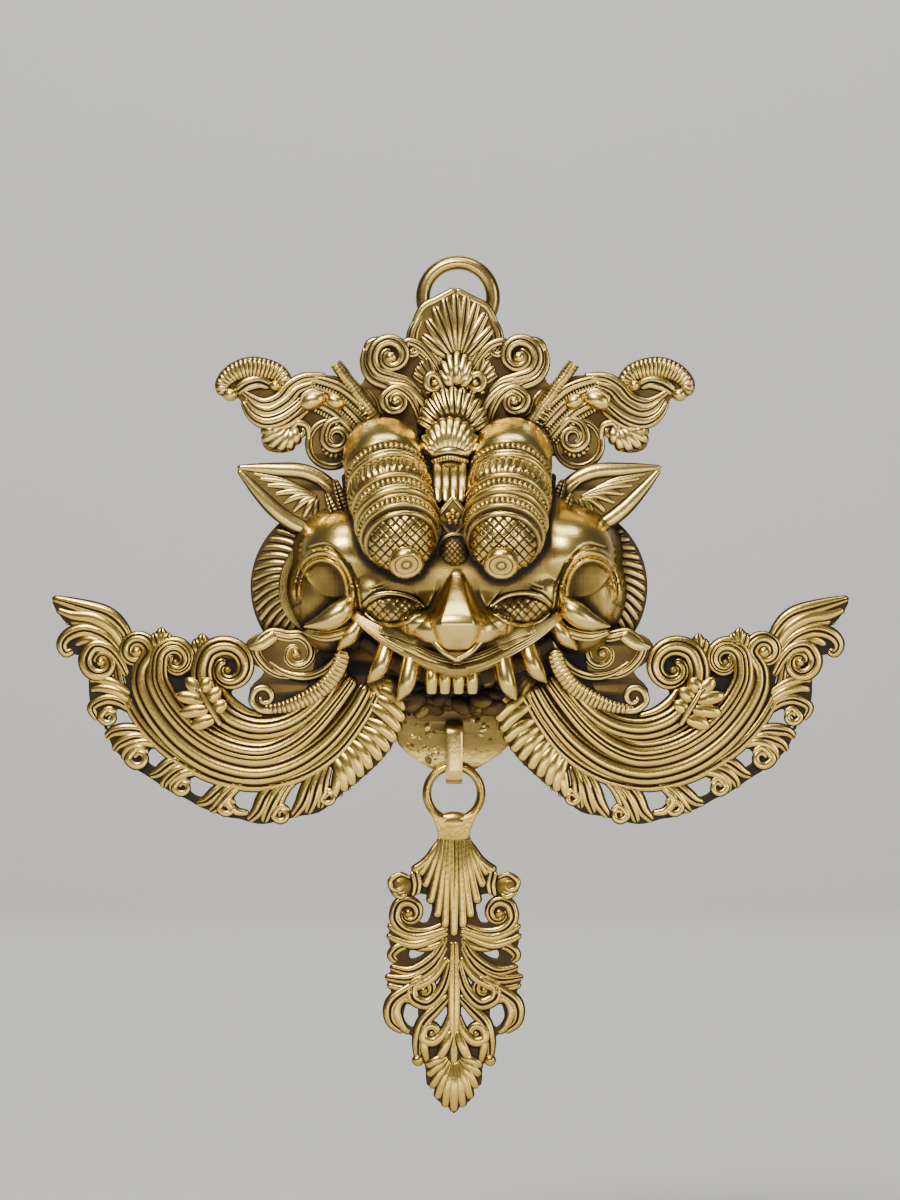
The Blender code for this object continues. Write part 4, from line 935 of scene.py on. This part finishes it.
def face_side():
    """The right half of the face."""
    c = Carving()
    c.take(skin())
    # Lids, and the raised end of the moustache
    strand(c, on_face([(32, 337), (46, 327), (64, 323), (82, 326), (93, 335)], 0.5), 5.5, ONE,
           0.0, (0.5, 0.5))
    strand(c, on_face([(36, 344), (50, 352), (64, 355), (80, 352), (92, 342)], 0.5), 5, ONE,
           0.0, (0.5, 0.5))
    # Nostril wing with its curled edge
    rod(c, [(6, 362, 132), (28, 358, 129), (51, 351, 112)], (13, 13, 4), 0.06, 30)
    strand(c, [(51, 356, 112), (44, 362, 119), (34, 365, 127), (24, 370, 134), (13, 381, 138),
               (0, 388, 137), (-4, 387, 137)], 5.5, ONE, 0.0, (0.5, 1.0))
    # Moustache: a rounded roll with fine strands, its raised end a leaf with cuts across it
    lip = [(-9, 397.5, 106), (0, 398, 106), (24, 392, 104), (50, 380, 98), (78, 365, 88),
           (106, 346, 78)]
    rod(c, lip, (8, 8, 8, 7, 3), 0.6, 24)
    strand(c, [(x, down - 3, out + 5) for x, down, out in lip], 17, FINE, 0.0, (1.0, 0.3),
           0.35, age=0.2)
    for path in ([(14, 390), (34, 384), (56, 374), (78, 362), (96, 349)],
                 [(26, 381), (44, 374), (62, 365), (82, 354)],
                 [(38, 370), (52, 364), (68, 357), (84, 348)]):
        strand(c, on_face(path, 1), 12, FINE, 0.0, (0.8, 0.3), 0.3, step=2.6, age=0.2)
    strand(c, on_face([(62, 365), (76, 359), (90, 351), (101, 341)], 3), 12, ONE, 0.0,
           (0.3, 0.5), 0.7, ticks=3.4, cut_depth=0.14)
    # A dark rod behind the lip: painted shade of the gap between the moustache and the teeth
    rod(c, [(0, 404, 84), (30, 400, 80), (60, 388, 72), (92, 370, 64)], (12, 12, 12, 8), 1.0, 20)
    # Tusk and the folds under it
    rod(c, [(104, 328, 88), (113, 340, 92), (128, 350, 92), (151, 356, 88)], (5, 11, 10, 1.0),
        0.02, 24)
    strand(c, [(96, 352, 80), (112, 362, 82), (132, 366, 78), (152, 361, 70)], 11, THREE)
    ball(c, (118, 364, 40), (32, 20, 24), 40, 28, 0.6)
    # Fangs
    rod(c, [(44, 384, 96), (48, 406, 103), (52, 418, 103), (58, 428, 98)], (9, 9, 7, 1.0), 0.03, 24)
    rod(c, [(68, 374, 86), (74, 392, 93), (80, 402, 92), (88, 411, 86)], (9.5, 9, 7, 1.0), 0.03, 24)
    rod(c, [(98, 355, 79), (107, 367, 81), (118, 379, 74)], (8, 8, 1.0), 0.05, 20)
    return c


# Ear, collar and the curls under the cheek

def side():
    """The right ear, the ribbed collar and the plate with curls under the cheek."""
    c = Carving()
    low = COLLAR_FRONT - 1.0
    rim = [(COLLAR_X + COLLAR_RADIUS * cos(a), COLLAR_DOWN + COLLAR_RADIUS * sin(a))
           for a in np.linspace(-1.45, 1.25, 30)]
    inner_edge = [(139 * cos(a), 292 + 95 * sin(a)) for a in np.linspace(0.95, -0.75, 14)]
    plate(c, rim + inner_edge, -3.0, COLLAR_FRONT, (), 0.5)
    slant = radians(10.0)
    for k in range(COLLAR_FLUTES):
        angle = radians(-80.0 + 7.4 * k)
        places = [(COLLAR_X + reach * cos(angle + turn * slant),
                   COLLAR_DOWN + reach * sin(angle + turn * slant), low + lift)
                  for reach, turn, lift in ((46, -0.5, 10), (66, 0.2, 5), (84, 1.0, -1))]
        strand(c, places, 13.5, TWO, low, (0.75, 0.85), 0.7)
    band = [(COLLAR_X + 52 * cos(a), COLLAR_DOWN + 52 * sin(a), low + 12)
            for a in np.linspace(-1.3, 1.0, 14)]
    strand(c, band, 10, FINE, 0.0, (0.8, 0.8))

    # Ear
    leaf = [(112, 222), (128, 207), (146, 201), (172, 199), (210, 199), (200, 212), (190, 223),
            (169, 242), (151, 256), (130, 258), (114, 245)]
    plate(c, leaf, 14, 27, (), 0.1)
    strand(c, [(106, 240), (118, 217), (142, 203), (174, 200), (211, 198)], 16, ONE, 26,
           (0.8, 0.3))
    strand(c, [(112, 250), (128, 261), (150, 256), (171, 242), (191, 222), (210, 200)], 16, ONE,
           26, (0.8, 0.3))
    strand(c, [(118, 254), (112, 240), (118, 222), (132, 210)], 12, ONE, 30)
    for tip, width in (((196, 204), 6), ((190, 209), 7), ((183, 216), 8), ((175, 225), 8),
                       ((166, 234), 8), ((156, 243), 8), ((145, 249), 8), ((134, 251), 7)):
        strand(c, [(130, 228), (0.5 * (130 + tip[0]), 0.5 * (225 + tip[1]) - 3), tip], width, ONE,
               27, (0.5, 0.5))
    # Tufts between the stalk and the ear
    for start, end, width in (((88, 264, 74), (104, 204, 34), 13), ((96, 266, 72), (114, 210, 36), 13),
                              ((104, 268, 70), (122, 224, 40), 12), ((80, 254, 72), (94, 208, 40), 12)):
        middle = tuple(0.5 * (a + b) for a, b in zip(start, end))
        strand(c, [start, middle, end], width, TWO, 0.0, (0.7, 0.5), ticks=4.0)

    # Plate under the cheek, with its curl, beak and ribbed trunk
    under = [(110, 382), (140, 366), (183, 362), (203, 374), (196, 392), (184, 402),
             (198, 418), (195, 436), (175, 441), (148, 432), (122, 410)]
    plate(c, under, 4.0, UNDER_FRONT, (), 0.45)
    low = UNDER_FRONT - 1.0
    strand(c, volute([(144, 405), (168, 404), (184, 394), (192, 378), (178, 364), (160, 366)],
                     (152, 383), 1.2, False, 0.75), 12, THREE, low, (0.6, 0.5))
    bead(c, 152, 383, low + 4, 5)
    strand(c, [(170, 362), (186, 374), (202, 378)], 13, SLAB, low + 1, (0.9, 0.3))
    strand(c, [(101, 370, 66), (110, 386, 56), (124, 400, 44), (143, 406, low + 4),
               (164, 402, low + 2), (182, 390, low)], 9, TWO, 0.0, (0.5, 0.5))
    strand(c, [(104, 378, 64), (110, 398, 56), (126, 418, low + 12), (150, 432, low + 7),
               (170, 438, low + 3), (186, 438, low)], 17, SLAB, low, (0.9, 0.5), ticks=4.6,
           cut_depth=0.14)
    strand(c, volute([(172, 441), (186, 440), (195, 433)], (184, 427), 1.15, False, 0.8), 7.5, ONE,
           low + 2, (0.9, 0.6))
    return c


# Pendant

PENDANT_RING_MIDDLE = 522.0     # squares down
PENDANT_RING_RADIUS = 27.0
PENDANT_RING_BAND = 9.0
PENDANT_AGE = 0.1               # how much darker its patina is than the mask's
RING_STEPS = 96


def pendant(front, back):
    """The ring and its openwork leaf, between two levels out from the wall."""
    c = Carving()
    ring_body(c, (0.0, PENDANT_RING_MIDDLE), PENDANT_RING_RADIUS, 0.5 * (front + back),
              0.5 * PENDANT_RING_BAND, 0.5 * (front - back), 16, (0.12, 0.42), 0.7)
    half_outline = [
        (0, 545), (16, 548), (16, 562), (15, 575), (20, 590), (32, 597), (46, 602), (58, 603),
        (64, 610), (62, 624), (56, 632), (61, 640), (63, 652), (67, 660), (66, 672), (62, 684),
        (63, 694), (69, 706), (65, 718), (64, 728), (67, 742), (60, 756), (44, 764), (40, 776),
        (39, 790), (31, 792), (29, 812), (20, 816), (18, 828), (8, 834), (0, 842),
    ]
    outline = half_outline + [(-x, down) for x, down in reversed(half_outline[1:-1])]
    right_holes = [
        [(24, 636), (26, 626), (36, 624), (39, 632), (37, 645), (28, 648)],
        [(18, 658), (26, 660), (40, 676), (42, 684), (32, 680), (21, 668)],
        [(11, 690), (18, 694), (28, 706), (24, 712), (15, 708), (10, 698)],
        [(6, 742), (10, 735), (18, 738), (22, 750), (16, 754), (8, 750)],
        [(38, 736), (45, 732), (48, 744), (42, 752), (38, 746)],
    ]
    holes = right_holes + [[(-x, down) for x, down in loop] for loop in right_holes]
    plate(c, outline, back, front - 2.0, holes, 0.5, 2.0)
    low = front - 3.0
    # The ring runs into a smooth neck above the palmette's collar
    neck = [(-25, 536), (-12, 545), (12, 545), (25, 536), (21, 547), (17, 557), (14, 567),
            (0, 569), (-14, 567), (-17, 557), (-21, 547)]
    plate(c, neck, back + 0.5, front - 0.5, (), 0.1)
    ball(c, (0, 551, front - 4), (19, 11, 5.4), 36, 20, 0.05)
    half = Carving()
    # Palmette of the neck, its outer flutes over the arms
    for path, width in (([(2, 562), (2.5, 600), (0, 664)], 8), ([(5, 562), (7, 600), (9, 656)], 9),
                        ([(8, 562), (11, 600), (17, 646)], 9), ([(11, 562), (16, 596), (24, 632)], 9),
                        ([(13, 564), (20, 590), (30, 616)], 9), ([(14, 568), (25, 588), (35, 604)], 9),
                        ([(15, 574), (28, 590), (42, 600)], 9)):
        strand(half, path, 1.08 * width, ONE, low + 1, (0.4444, 1.0556), step=1.5)
    # Arms: a ringed collar and a bud with a spiral
    for x, down in ((35, 611), (40, 612)):
        strand(half, [(x + 2, down - 13), (x - 1, down), (x + 1, down + 12)], 5, ONE, low + 4,
               (0.8, 0.8))
    ball(half, (52, 614, low), (13, 12, 6), 24, 16, 0.3)
    strand(half, volute([(43, 606), (53, 602), (62, 607)], (56, 612), 1.0, True, 0.7), 6, ONE,
           low + 4)
    for reach in (12.0, 17.0):
        strand(half, [(46, 604 + reach), (53, 608 + reach), (63, 602 + reach)], 6, ONE, low + 3)
    flutes = [
        ([(2, 668), (2.5, 730), (1, 792)], 6, ONE),
        (volute([(6, 650), (26, 659), (47, 658), (58, 647), (56, 634)], (45, 641), 1.0, False),
         8, TWO),
        ([(5, 656), (34, 665), (54, 660), (66, 652)], 7, ONE),
        ([(5, 660), (36, 672), (56, 668), (67, 662)], 7, ONE),
        ([(42, 672), (55, 675), (62, 683), (56, 690)], 7, TWO),
        ([(8, 662), (11, 670), (26, 676), (40, 676)], 5, ONE),
        ([(8, 664), (20, 684), (42, 698), (64, 694)], 8, TWO),
        ([(8, 672), (22, 694), (44, 706), (69, 704)], 8, TWO),
        ([(6, 684), (22, 706), (46, 716), (67, 712)], 7, ONE),
        ([(16, 700), (44, 716), (62, 730), (63, 748), (50, 759)], 9, TWO),
        ([(34, 732), (50, 726), (57, 738), (51, 754), (43, 760)], 7, ONE),
        (volute([(3, 686), (11, 714), (25, 730), (38, 727)], (30, 717), 1.1, False), 9, TWO),
        ([(4, 722), (18, 736), (31, 750), (36, 768), (36, 786)], 9, TWO),
        (volute([(3, 740), (9, 757), (19, 768), (29, 767)], (22, 760), 0.9, False), 8, ONE),
        ([(2, 756), (10, 776), (18, 790)], 8, ONE),
        ([(30, 754), (30, 772), (26, 790)], 7, ONE),
    ]
    for path, width, section in flutes:
        strand(half, path, 1.6 * width, section, low, (0.55, 0.5), step=1.5)
    for x, down, radius in ((45, 641, 4.5), (30, 718, 4), (22, 761, 3.5), (36, 787, 6)):
        ball(half, (x, down, low + 2), (radius, radius, 0.7 * radius), 20, 12, 0.1)
    fan(half, (2, 780), [(0, 839), (9, 834), (17, 826), (23, 815), (27, 803), (29, 793)], 12, ONE,
        low - 1, 1, 0.5)
    c.take(both_sides(half, 0.0))
    c.shades = [shade + PENDANT_AGE for shade in c.shades]
    return c.changed(shifted(PENDANT_SHIFT))


def ring_body(carving, centre, radius, level, half_band, half_thick, corners_round, shades,
              squareness=1.0):
    """A ring that faces the viewer; below 1, squareness flattens its front and back."""
    turn = np.linspace(0.0, 2 * pi, RING_STEPS, endpoint=False)
    tube = np.linspace(0.0, 2 * pi, corners_round, endpoint=False)
    reach = radius + half_band * np.cos(tube)[None, :]
    rise = np.sign(np.sin(tube)) * np.abs(np.sin(tube)) ** squareness
    corners = np.stack([centre[0] + reach * np.cos(turn)[:, None],
                        centre[1] + reach * np.sin(turn)[:, None],
                        np.repeat((level + half_thick * rise)[None, :], RING_STEPS, 0)], -1)
    dark = np.where(np.sin(tube) < -0.3, shades[1], shades[0])
    carving.add(corners, np.repeat(dark[None, :], RING_STEPS, 0).ravel(),
                grid_quads(RING_STEPS, corners_round, True, True))


def loop_and_plate():
    """The hanging loop and the crown's back plate."""
    c = Carving()
    bar = 0.5 * LOOP_BAR / SQ
    inner = LOOP_INNER_RADIUS / SQ
    ring_body(c, (LOOP_SHIFT, inner), inner + bar, 1.04 * bar, bar, bar, 20, (0.12, 0.12))
    outline = CROWN_OUTLINE + [(-x, down) for x, down in reversed(CROWN_OUTLINE[1:-1])]
    plate(c, outline, 0.0, CROWN_FRONT, (), 0.3)
    return c


def jaw():
    """The jaw plate with its hole for the link and its rough cast."""
    c = Carving()
    back = JAW_PLATE_STANDOFF / SQ
    front = back + JAW_PLATE_THICKNESS / SQ
    outline = [(60, 380), (62, 405), (63, 440), (55, 474), (26, 496), (10, 501),
               (-10, 501), (-26, 496), (-55, 474), (-63, 440), (-62, 405), (-60, 380)]
    hole = [(-7, 451), (7, 451), (8, 456), (7, 461), (-7, 461), (-8, 456)]
    plate(c, outline, back, front, [hole], 0.0)
    lumps = np.random.default_rng(CAST_SEED)
    for _ in range(220):
        down = lumps.uniform(425, 490)
        x = lumps.uniform(-1, 1) * np.interp(down, [440, 474, 490], [57, 47, 24])
        reach, rise, shade = lumps.uniform(2.5, 8), lumps.uniform(0.8, 2.6), lumps.uniform(0, 0.4)
        lean = lumps.uniform(0, 180)
        if down < 438 or abs(x) > reach + 11:
            ball(c, (x, down, front - 0.6), (reach, 0.7 * reach, rise), 9, 6, shade, lean)
    return c.changed(shifted(JAW_SHIFT))


def link_piece(low, high):
    """The bent bar, on edge to the viewer, from the solid's box."""
    c = Carving()
    across = 0.5 * (high.x - low.x) / SQ
    top, bottom = -high.z / SQ, -low.z / SQ
    back, front = -high.y / SQ, -low.y / SQ
    bar = LINK_BAR / SQ
    bend = 1.45 * bar
    path = []
    mid_down, mid_out = 0.5 * (top + bottom), 0.5 * (back + front)
    half_down, half_out = 0.5 * (bottom - top), 0.5 * (front - back)
    for quarter, (sd, so) in enumerate(((1, 1), (-1, 1), (-1, -1), (1, -1))):
        for a in 0.5 * pi * (quarter + np.linspace(0.0, 1.0, 8)):
            path.append((mid_down + sd * (half_down - bend) + bend * cos(a),
                         mid_out + so * (half_out - bend) + bend * sin(a), a))
    rim = np.array([(1, -0.8), (1, 0.8), (0.8, 1), (-0.8, 1), (-1, 0.8), (-1, -0.8), (-0.8, -1),
                    (0.8, -1)])
    corners = []
    for down, out, a in path:
        centre_down = down - 0.5 * bar * cos(a)
        centre_out = out - 0.5 * bar * sin(a)
        for side_share, rise in rim:
            corners.append((side_share * across, centre_down + 0.5 * bar * rise * cos(a),
                            centre_out + 0.5 * bar * rise * sin(a)))
    c.add(corners, 0.15, grid_quads(len(path), len(rim), True, True))
    return c


# Shades and meshes

MAP_MARGIN = 20
NEAR_REACH = 5.0                # squares, for the small hollows
FAR_REACH = 16.0                # squares, for what lies behind whole forms, as painted shade
NEAR_DARKENS, FAR_DARKENS = 0.042, 0.012
NEAR_LIMITS = (-6, 12)
FAR_LIMITS = (-10, 20)
CARVED_SHARE = 0.9              # how much of the carving's own shade is kept
LEAST_SHADE = 0.07
COVERED_BY = 7.0                # squares, less than the thinnest plate
BACK_SHADE = 0.36
SHARP_ANGLE = radians(52.0)

# Colours from worn bright to the deepest patina and painted shade, then the bright metal's roughness
CAST_BRASS = ((0.90, 0.66, 0.20), (0.37, 0.252, 0.066), (0.085, 0.046, 0.010),
              (0.008, 0.004, 0.002), 0.26)
OLIVE_BRASS = ((0.90, 0.62, 0.155), (0.36, 0.225, 0.038), (0.075, 0.038, 0.008),
               (0.007, 0.004, 0.002), 0.25)
COLOUR_STOPS = (0.02, 0.28, 0.56, 0.85)
PATINA_ROUGHNESS = 0.68
PATINA_METALLIC = 0.35
PATINA_FROM, PATINA_TO = 0.25, 0.85
MOTTLE_SCALE = 130.0            # spots across a metre
MOTTLE_SWING, MOTTLE_BASE = 0.17, -0.08
GRAIN_SCALE = 620.0
GRAIN_HEIGHT = 0.0006           # metres


def blurred(field, reach):
    """Gaussian blur by way of the field's frequencies."""
    rows, columns = field.shape
    fr = np.fft.fftfreq(rows)[:, None]
    fc = np.fft.rfftfreq(columns)[None, :]
    kernel = np.exp(-2 * (pi * reach) ** 2 * (fr ** 2 + fc ** 2))
    return np.fft.irfft2(np.fft.rfft2(field) * kernel, field.shape)


def settle_patina_and_shade(carvings):
    """Darken what lies below its surroundings, over all pieces together: patina in the hollows, and
    painted shade where higher forms stand around.
    """
    everything = np.vstack([corner for c in carvings for corner in c.corners])
    low = everything[:, :2].min(0) - MAP_MARGIN
    size = np.ceil(everything[:, :2].max(0) + MAP_MARGIN - low).astype(int)
    level = np.zeros((size[0], size[1]))
    cell = (everything[:, :2] - low).astype(int)
    np.maximum.at(level, (cell[:, 0], cell[:, 1]), everything[:, 2])
    known = (level > 0).astype(float)
    near, far = (blurred(level * known, reach) / np.maximum(blurred(known, reach), 1e-3)
                 for reach in (NEAR_REACH, FAR_REACH))
    for c in carvings:
        fresh = []
        for corners, shades in zip(c.corners, c.shades):
            across, down = (corners[:, :2] - low).astype(int).T
            below = near[across, down] - corners[:, 2]
            deep = far[across, down] - corners[:, 2]
            # Patina and painted shade: the further a corner lies below the relief around it, the darker
            shade = (LEAST_SHADE + CARVED_SHARE * shades
                     + NEAR_DARKENS * np.clip(below, *NEAR_LIMITS)
                     + FAR_DARKENS * np.clip(deep, *FAR_LIMITS))
            covered = level[across, down] - corners[:, 2] > COVERED_BY
            shade = np.where(covered | (shades == HIDDEN), BACK_SHADE, shade)
            fresh.append(np.clip(shade, 0.0, 1.0))
        c.shades = fresh


def make_piece(name, carving, material):
    """The carving as a mesh in metres, kept on the near side of the wall."""
    corners = np.vstack(carving.corners)
    world = np.stack([corners[:, 0] * SQ, -corners[:, 2] * SQ, -corners[:, 1] * SQ], 1)
    world[:, 1] = np.minimum(world[:, 1], 0.0)
    faces = [f for q in carving.quads for f in q.tolist()]
    faces += [f for t in carving.triangles for f in t.tolist()]
    mesh = bpy.data.meshes.new(name)
    mesh.from_pydata(world.tolist(), [], faces)
    # The shades hold patina, wear and painted shade together
    attribute = mesh.attributes.new("patina_and_shade", "FLOAT", "POINT")
    attribute.data.foreach_set("value", np.concatenate(carving.shades).astype(np.float32))
    mesh.shade_smooth()
    mesh.set_sharp_from_angle(angle=SHARP_ANGLE)
    mesh.materials.append(material)
    item = bpy.data.objects.new(name, mesh)
    bpy.context.scene.collection.objects.link(item)
    return item


def brass(name, bright, mid, dark, deepest, roughness):
    """Worn brass with patina and painted shade by the corners' shades, mottled a little."""
    material = bpy.data.materials.new(name)
    material.use_nodes = True
    nodes, links = material.node_tree.nodes, material.node_tree.links
    shader = nodes["Principled BSDF"]
    shade = nodes.new("ShaderNodeAttribute")
    shade.attribute_name = "patina_and_shade"
    place = nodes.new("ShaderNodeTexCoord")
    mottle = nodes.new("ShaderNodeTexNoise")
    mottle.inputs["Scale"].default_value = MOTTLE_SCALE
    mottle.inputs["Detail"].default_value = 6.0
    mottle.inputs["Roughness"].default_value = 0.65
    links.new(place.outputs["Object"], mottle.inputs["Vector"])
    swing = nodes.new("ShaderNodeMath")
    swing.operation = "MULTIPLY_ADD"
    swing.inputs[1].default_value = MOTTLE_SWING
    swing.inputs[2].default_value = MOTTLE_BASE
    links.new(mottle.outputs["Fac"], swing.inputs[0])
    total = nodes.new("ShaderNodeMath")
    total.operation = "ADD"
    total.use_clamp = True
    links.new(shade.outputs["Fac"], total.inputs[0])
    links.new(swing.outputs["Value"], total.inputs[1])
    ramp = nodes.new("ShaderNodeValToRGB")
    stops = ramp.color_ramp.elements
    stops[0].position, stops[1].position = COLOUR_STOPS[0], COLOUR_STOPS[3]
    stops.new(COLOUR_STOPS[1])
    stops.new(COLOUR_STOPS[2])
    for stop, colour in zip(stops, (bright, mid, dark, deepest)):
        stop.color = (*colour, 1.0)
    links.new(total.outputs["Value"], ramp.inputs["Fac"])
    links.new(ramp.outputs["Color"], shader.inputs["Base Color"])
    for socket, start, end in (("Roughness", roughness, PATINA_ROUGHNESS),
                               ("Metallic", 1.0, PATINA_METALLIC)):
        spread = nodes.new("ShaderNodeMapRange")
        spread.inputs["From Min"].default_value = PATINA_FROM
        spread.inputs["From Max"].default_value = PATINA_TO
        spread.inputs["To Min"].default_value = start
        spread.inputs["To Max"].default_value = end
        links.new(total.outputs["Value"], spread.inputs["Value"])
        links.new(spread.outputs["Result"], shader.inputs[socket])
    grain = nodes.new("ShaderNodeTexNoise")
    grain.inputs["Scale"].default_value = GRAIN_SCALE
    grain.inputs["Detail"].default_value = 4.0
    links.new(place.outputs["Object"], grain.inputs["Vector"])
    bump = nodes.new("ShaderNodeBump")
    bump.inputs["Strength"].default_value = 0.12
    bump.inputs["Distance"].default_value = GRAIN_HEIGHT
    links.new(grain.outputs["Fac"], bump.inputs["Height"])
    links.new(bump.outputs["Normal"], shader.inputs["Normal"])
    return material


def plain(name, colour, roughness):
    """One colour without a pattern, for the stage."""
    material = bpy.data.materials.new(name)
    material.use_nodes = True
    shader = material.node_tree.nodes["Principled BSDF"]
    shader.inputs["Base Color"].default_value = (*colour, 1.0)
    shader.inputs["Roughness"].default_value = roughness
    return material


def build():
    """All pieces, in their places and with their metals."""
    wing_half = wing()
    wing_right = wing_half.changed(shifted(WING_SHIFT))
    wing_left = wing_half.changed(mirror, flip=True).changed(shifted(WING_SHIFT))
    crown = crown_middle()
    crown.take(loop_and_plate())
    crown.take(both_sides(crown_side(), 0.0))
    crown = crown.changed(out_of_hollow)
    face = both_sides(face_side(), 0.0)
    face.take(face_ornament())
    face.take(jaw())
    face = face.changed(out_of_hollow)
    bowl(face, CORE, HOLLOW)
    face = face.changed(shifted(FACE_SHIFT))
    sides = both_sides(side(), SIDE_SHIFT).changed(out_of_hollow)
    low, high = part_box("pendant")
    hanging = pendant(-low.y / SQ, -high.y / SQ)
    link = link_piece(*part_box("link"))
    link = link.changed(shifted(PENDANT_SHIFT))
    stalks = {name: eye_stalk(*places).changed(out_of_hollow).changed(shifted(FACE_SHIFT))
              for name, places in EYE_STALKS.items()}
    groups = {"wing_right": wing_right, "wing_left": wing_left, "crown_and_loop": crown,
              "lion_face": face, "ears_and_collar": sides, "link_bar": link,
              "leaf_pendant": hanging, **stalks}
    settle_patina_and_shade(list(groups.values()))
    main = brass("brass", *CAST_BRASS)
    olive = brass("olive brass", *OLIVE_BRASS)
    pieces = {}
    for name, carving in groups.items():
        material = olive if name in ("wing_right", "wing_left", "leaf_pendant") else main
        pieces[name] = make_piece(name, carving, material)
        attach(pieces[name], "root")
    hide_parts("mask")
    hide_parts("link")
    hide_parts("pendant")


def area_light(name, place, aim, size, power, colour):
    light = bpy.data.lights.new(name, "AREA")
    light.shape = "RECTANGLE"
    light.size, light.size_y = size
    light.energy = power
    light.color = colour
    item = bpy.data.objects.new(name, light)
    item.location = place
    item.rotation_euler = (Vector(aim) - Vector(place)).to_track_quat("-Z", "Y").to_euler()
    bpy.context.scene.collection.objects.link(item)


def studio():
    """Pale floor and backdrop, soft lights and the camera."""
    floor_z = cad_low.z - FLOOR_BELOW
    pale = plain("pale floor", FLOOR_COLOUR, FLOOR_ROUGHNESS)
    floor = ((-ROOM_HALF, floor_z), (ROOM_HALF, floor_z))
    backdrop = ((BACKDROP_BEHIND, floor_z), (BACKDROP_BEHIND, ROOM_TOP))
    for name, (near, far) in (("floor", floor), ("backdrop", backdrop)):
        corners = [(-ROOM_HALF, *near), (ROOM_HALF, *near), (ROOM_HALF, *far), (-ROOM_HALF, *far)]
        mesh = bpy.data.meshes.new(name)
        mesh.from_pydata(corners, [], [(0, 1, 2, 3)])
        mesh.materials.append(pale)
        item = bpy.data.objects.new(name, mesh)
        bpy.context.scene.collection.objects.link(item)
    world = bpy.data.worlds.new("studio")
    world.use_nodes = True
    background = world.node_tree.nodes["Background"]
    background.inputs["Color"].default_value = (*SKY_COLOUR, 1.0)
    background.inputs["Strength"].default_value = SKY_STRENGTH
    bpy.context.scene.world = world
    for name, light in LIGHTS.items():
        area_light(name, *light)

    camera = bpy.data.cameras.new("camera")
    camera.lens = LENS
    camera.sensor_fit = "VERTICAL"
    camera.sensor_height = SENSOR
    camera.clip_end = 60.0
    item = bpy.data.objects.new("camera", camera)
    item.location = (CAMERA_X, -CAMERA_DISTANCE, CAMERA_Z)
    item.rotation_euler = (radians(90.0), 0.0, 0.0)
    bpy.context.scene.collection.objects.link(item)
    bpy.context.scene.camera = item


build()
studio()
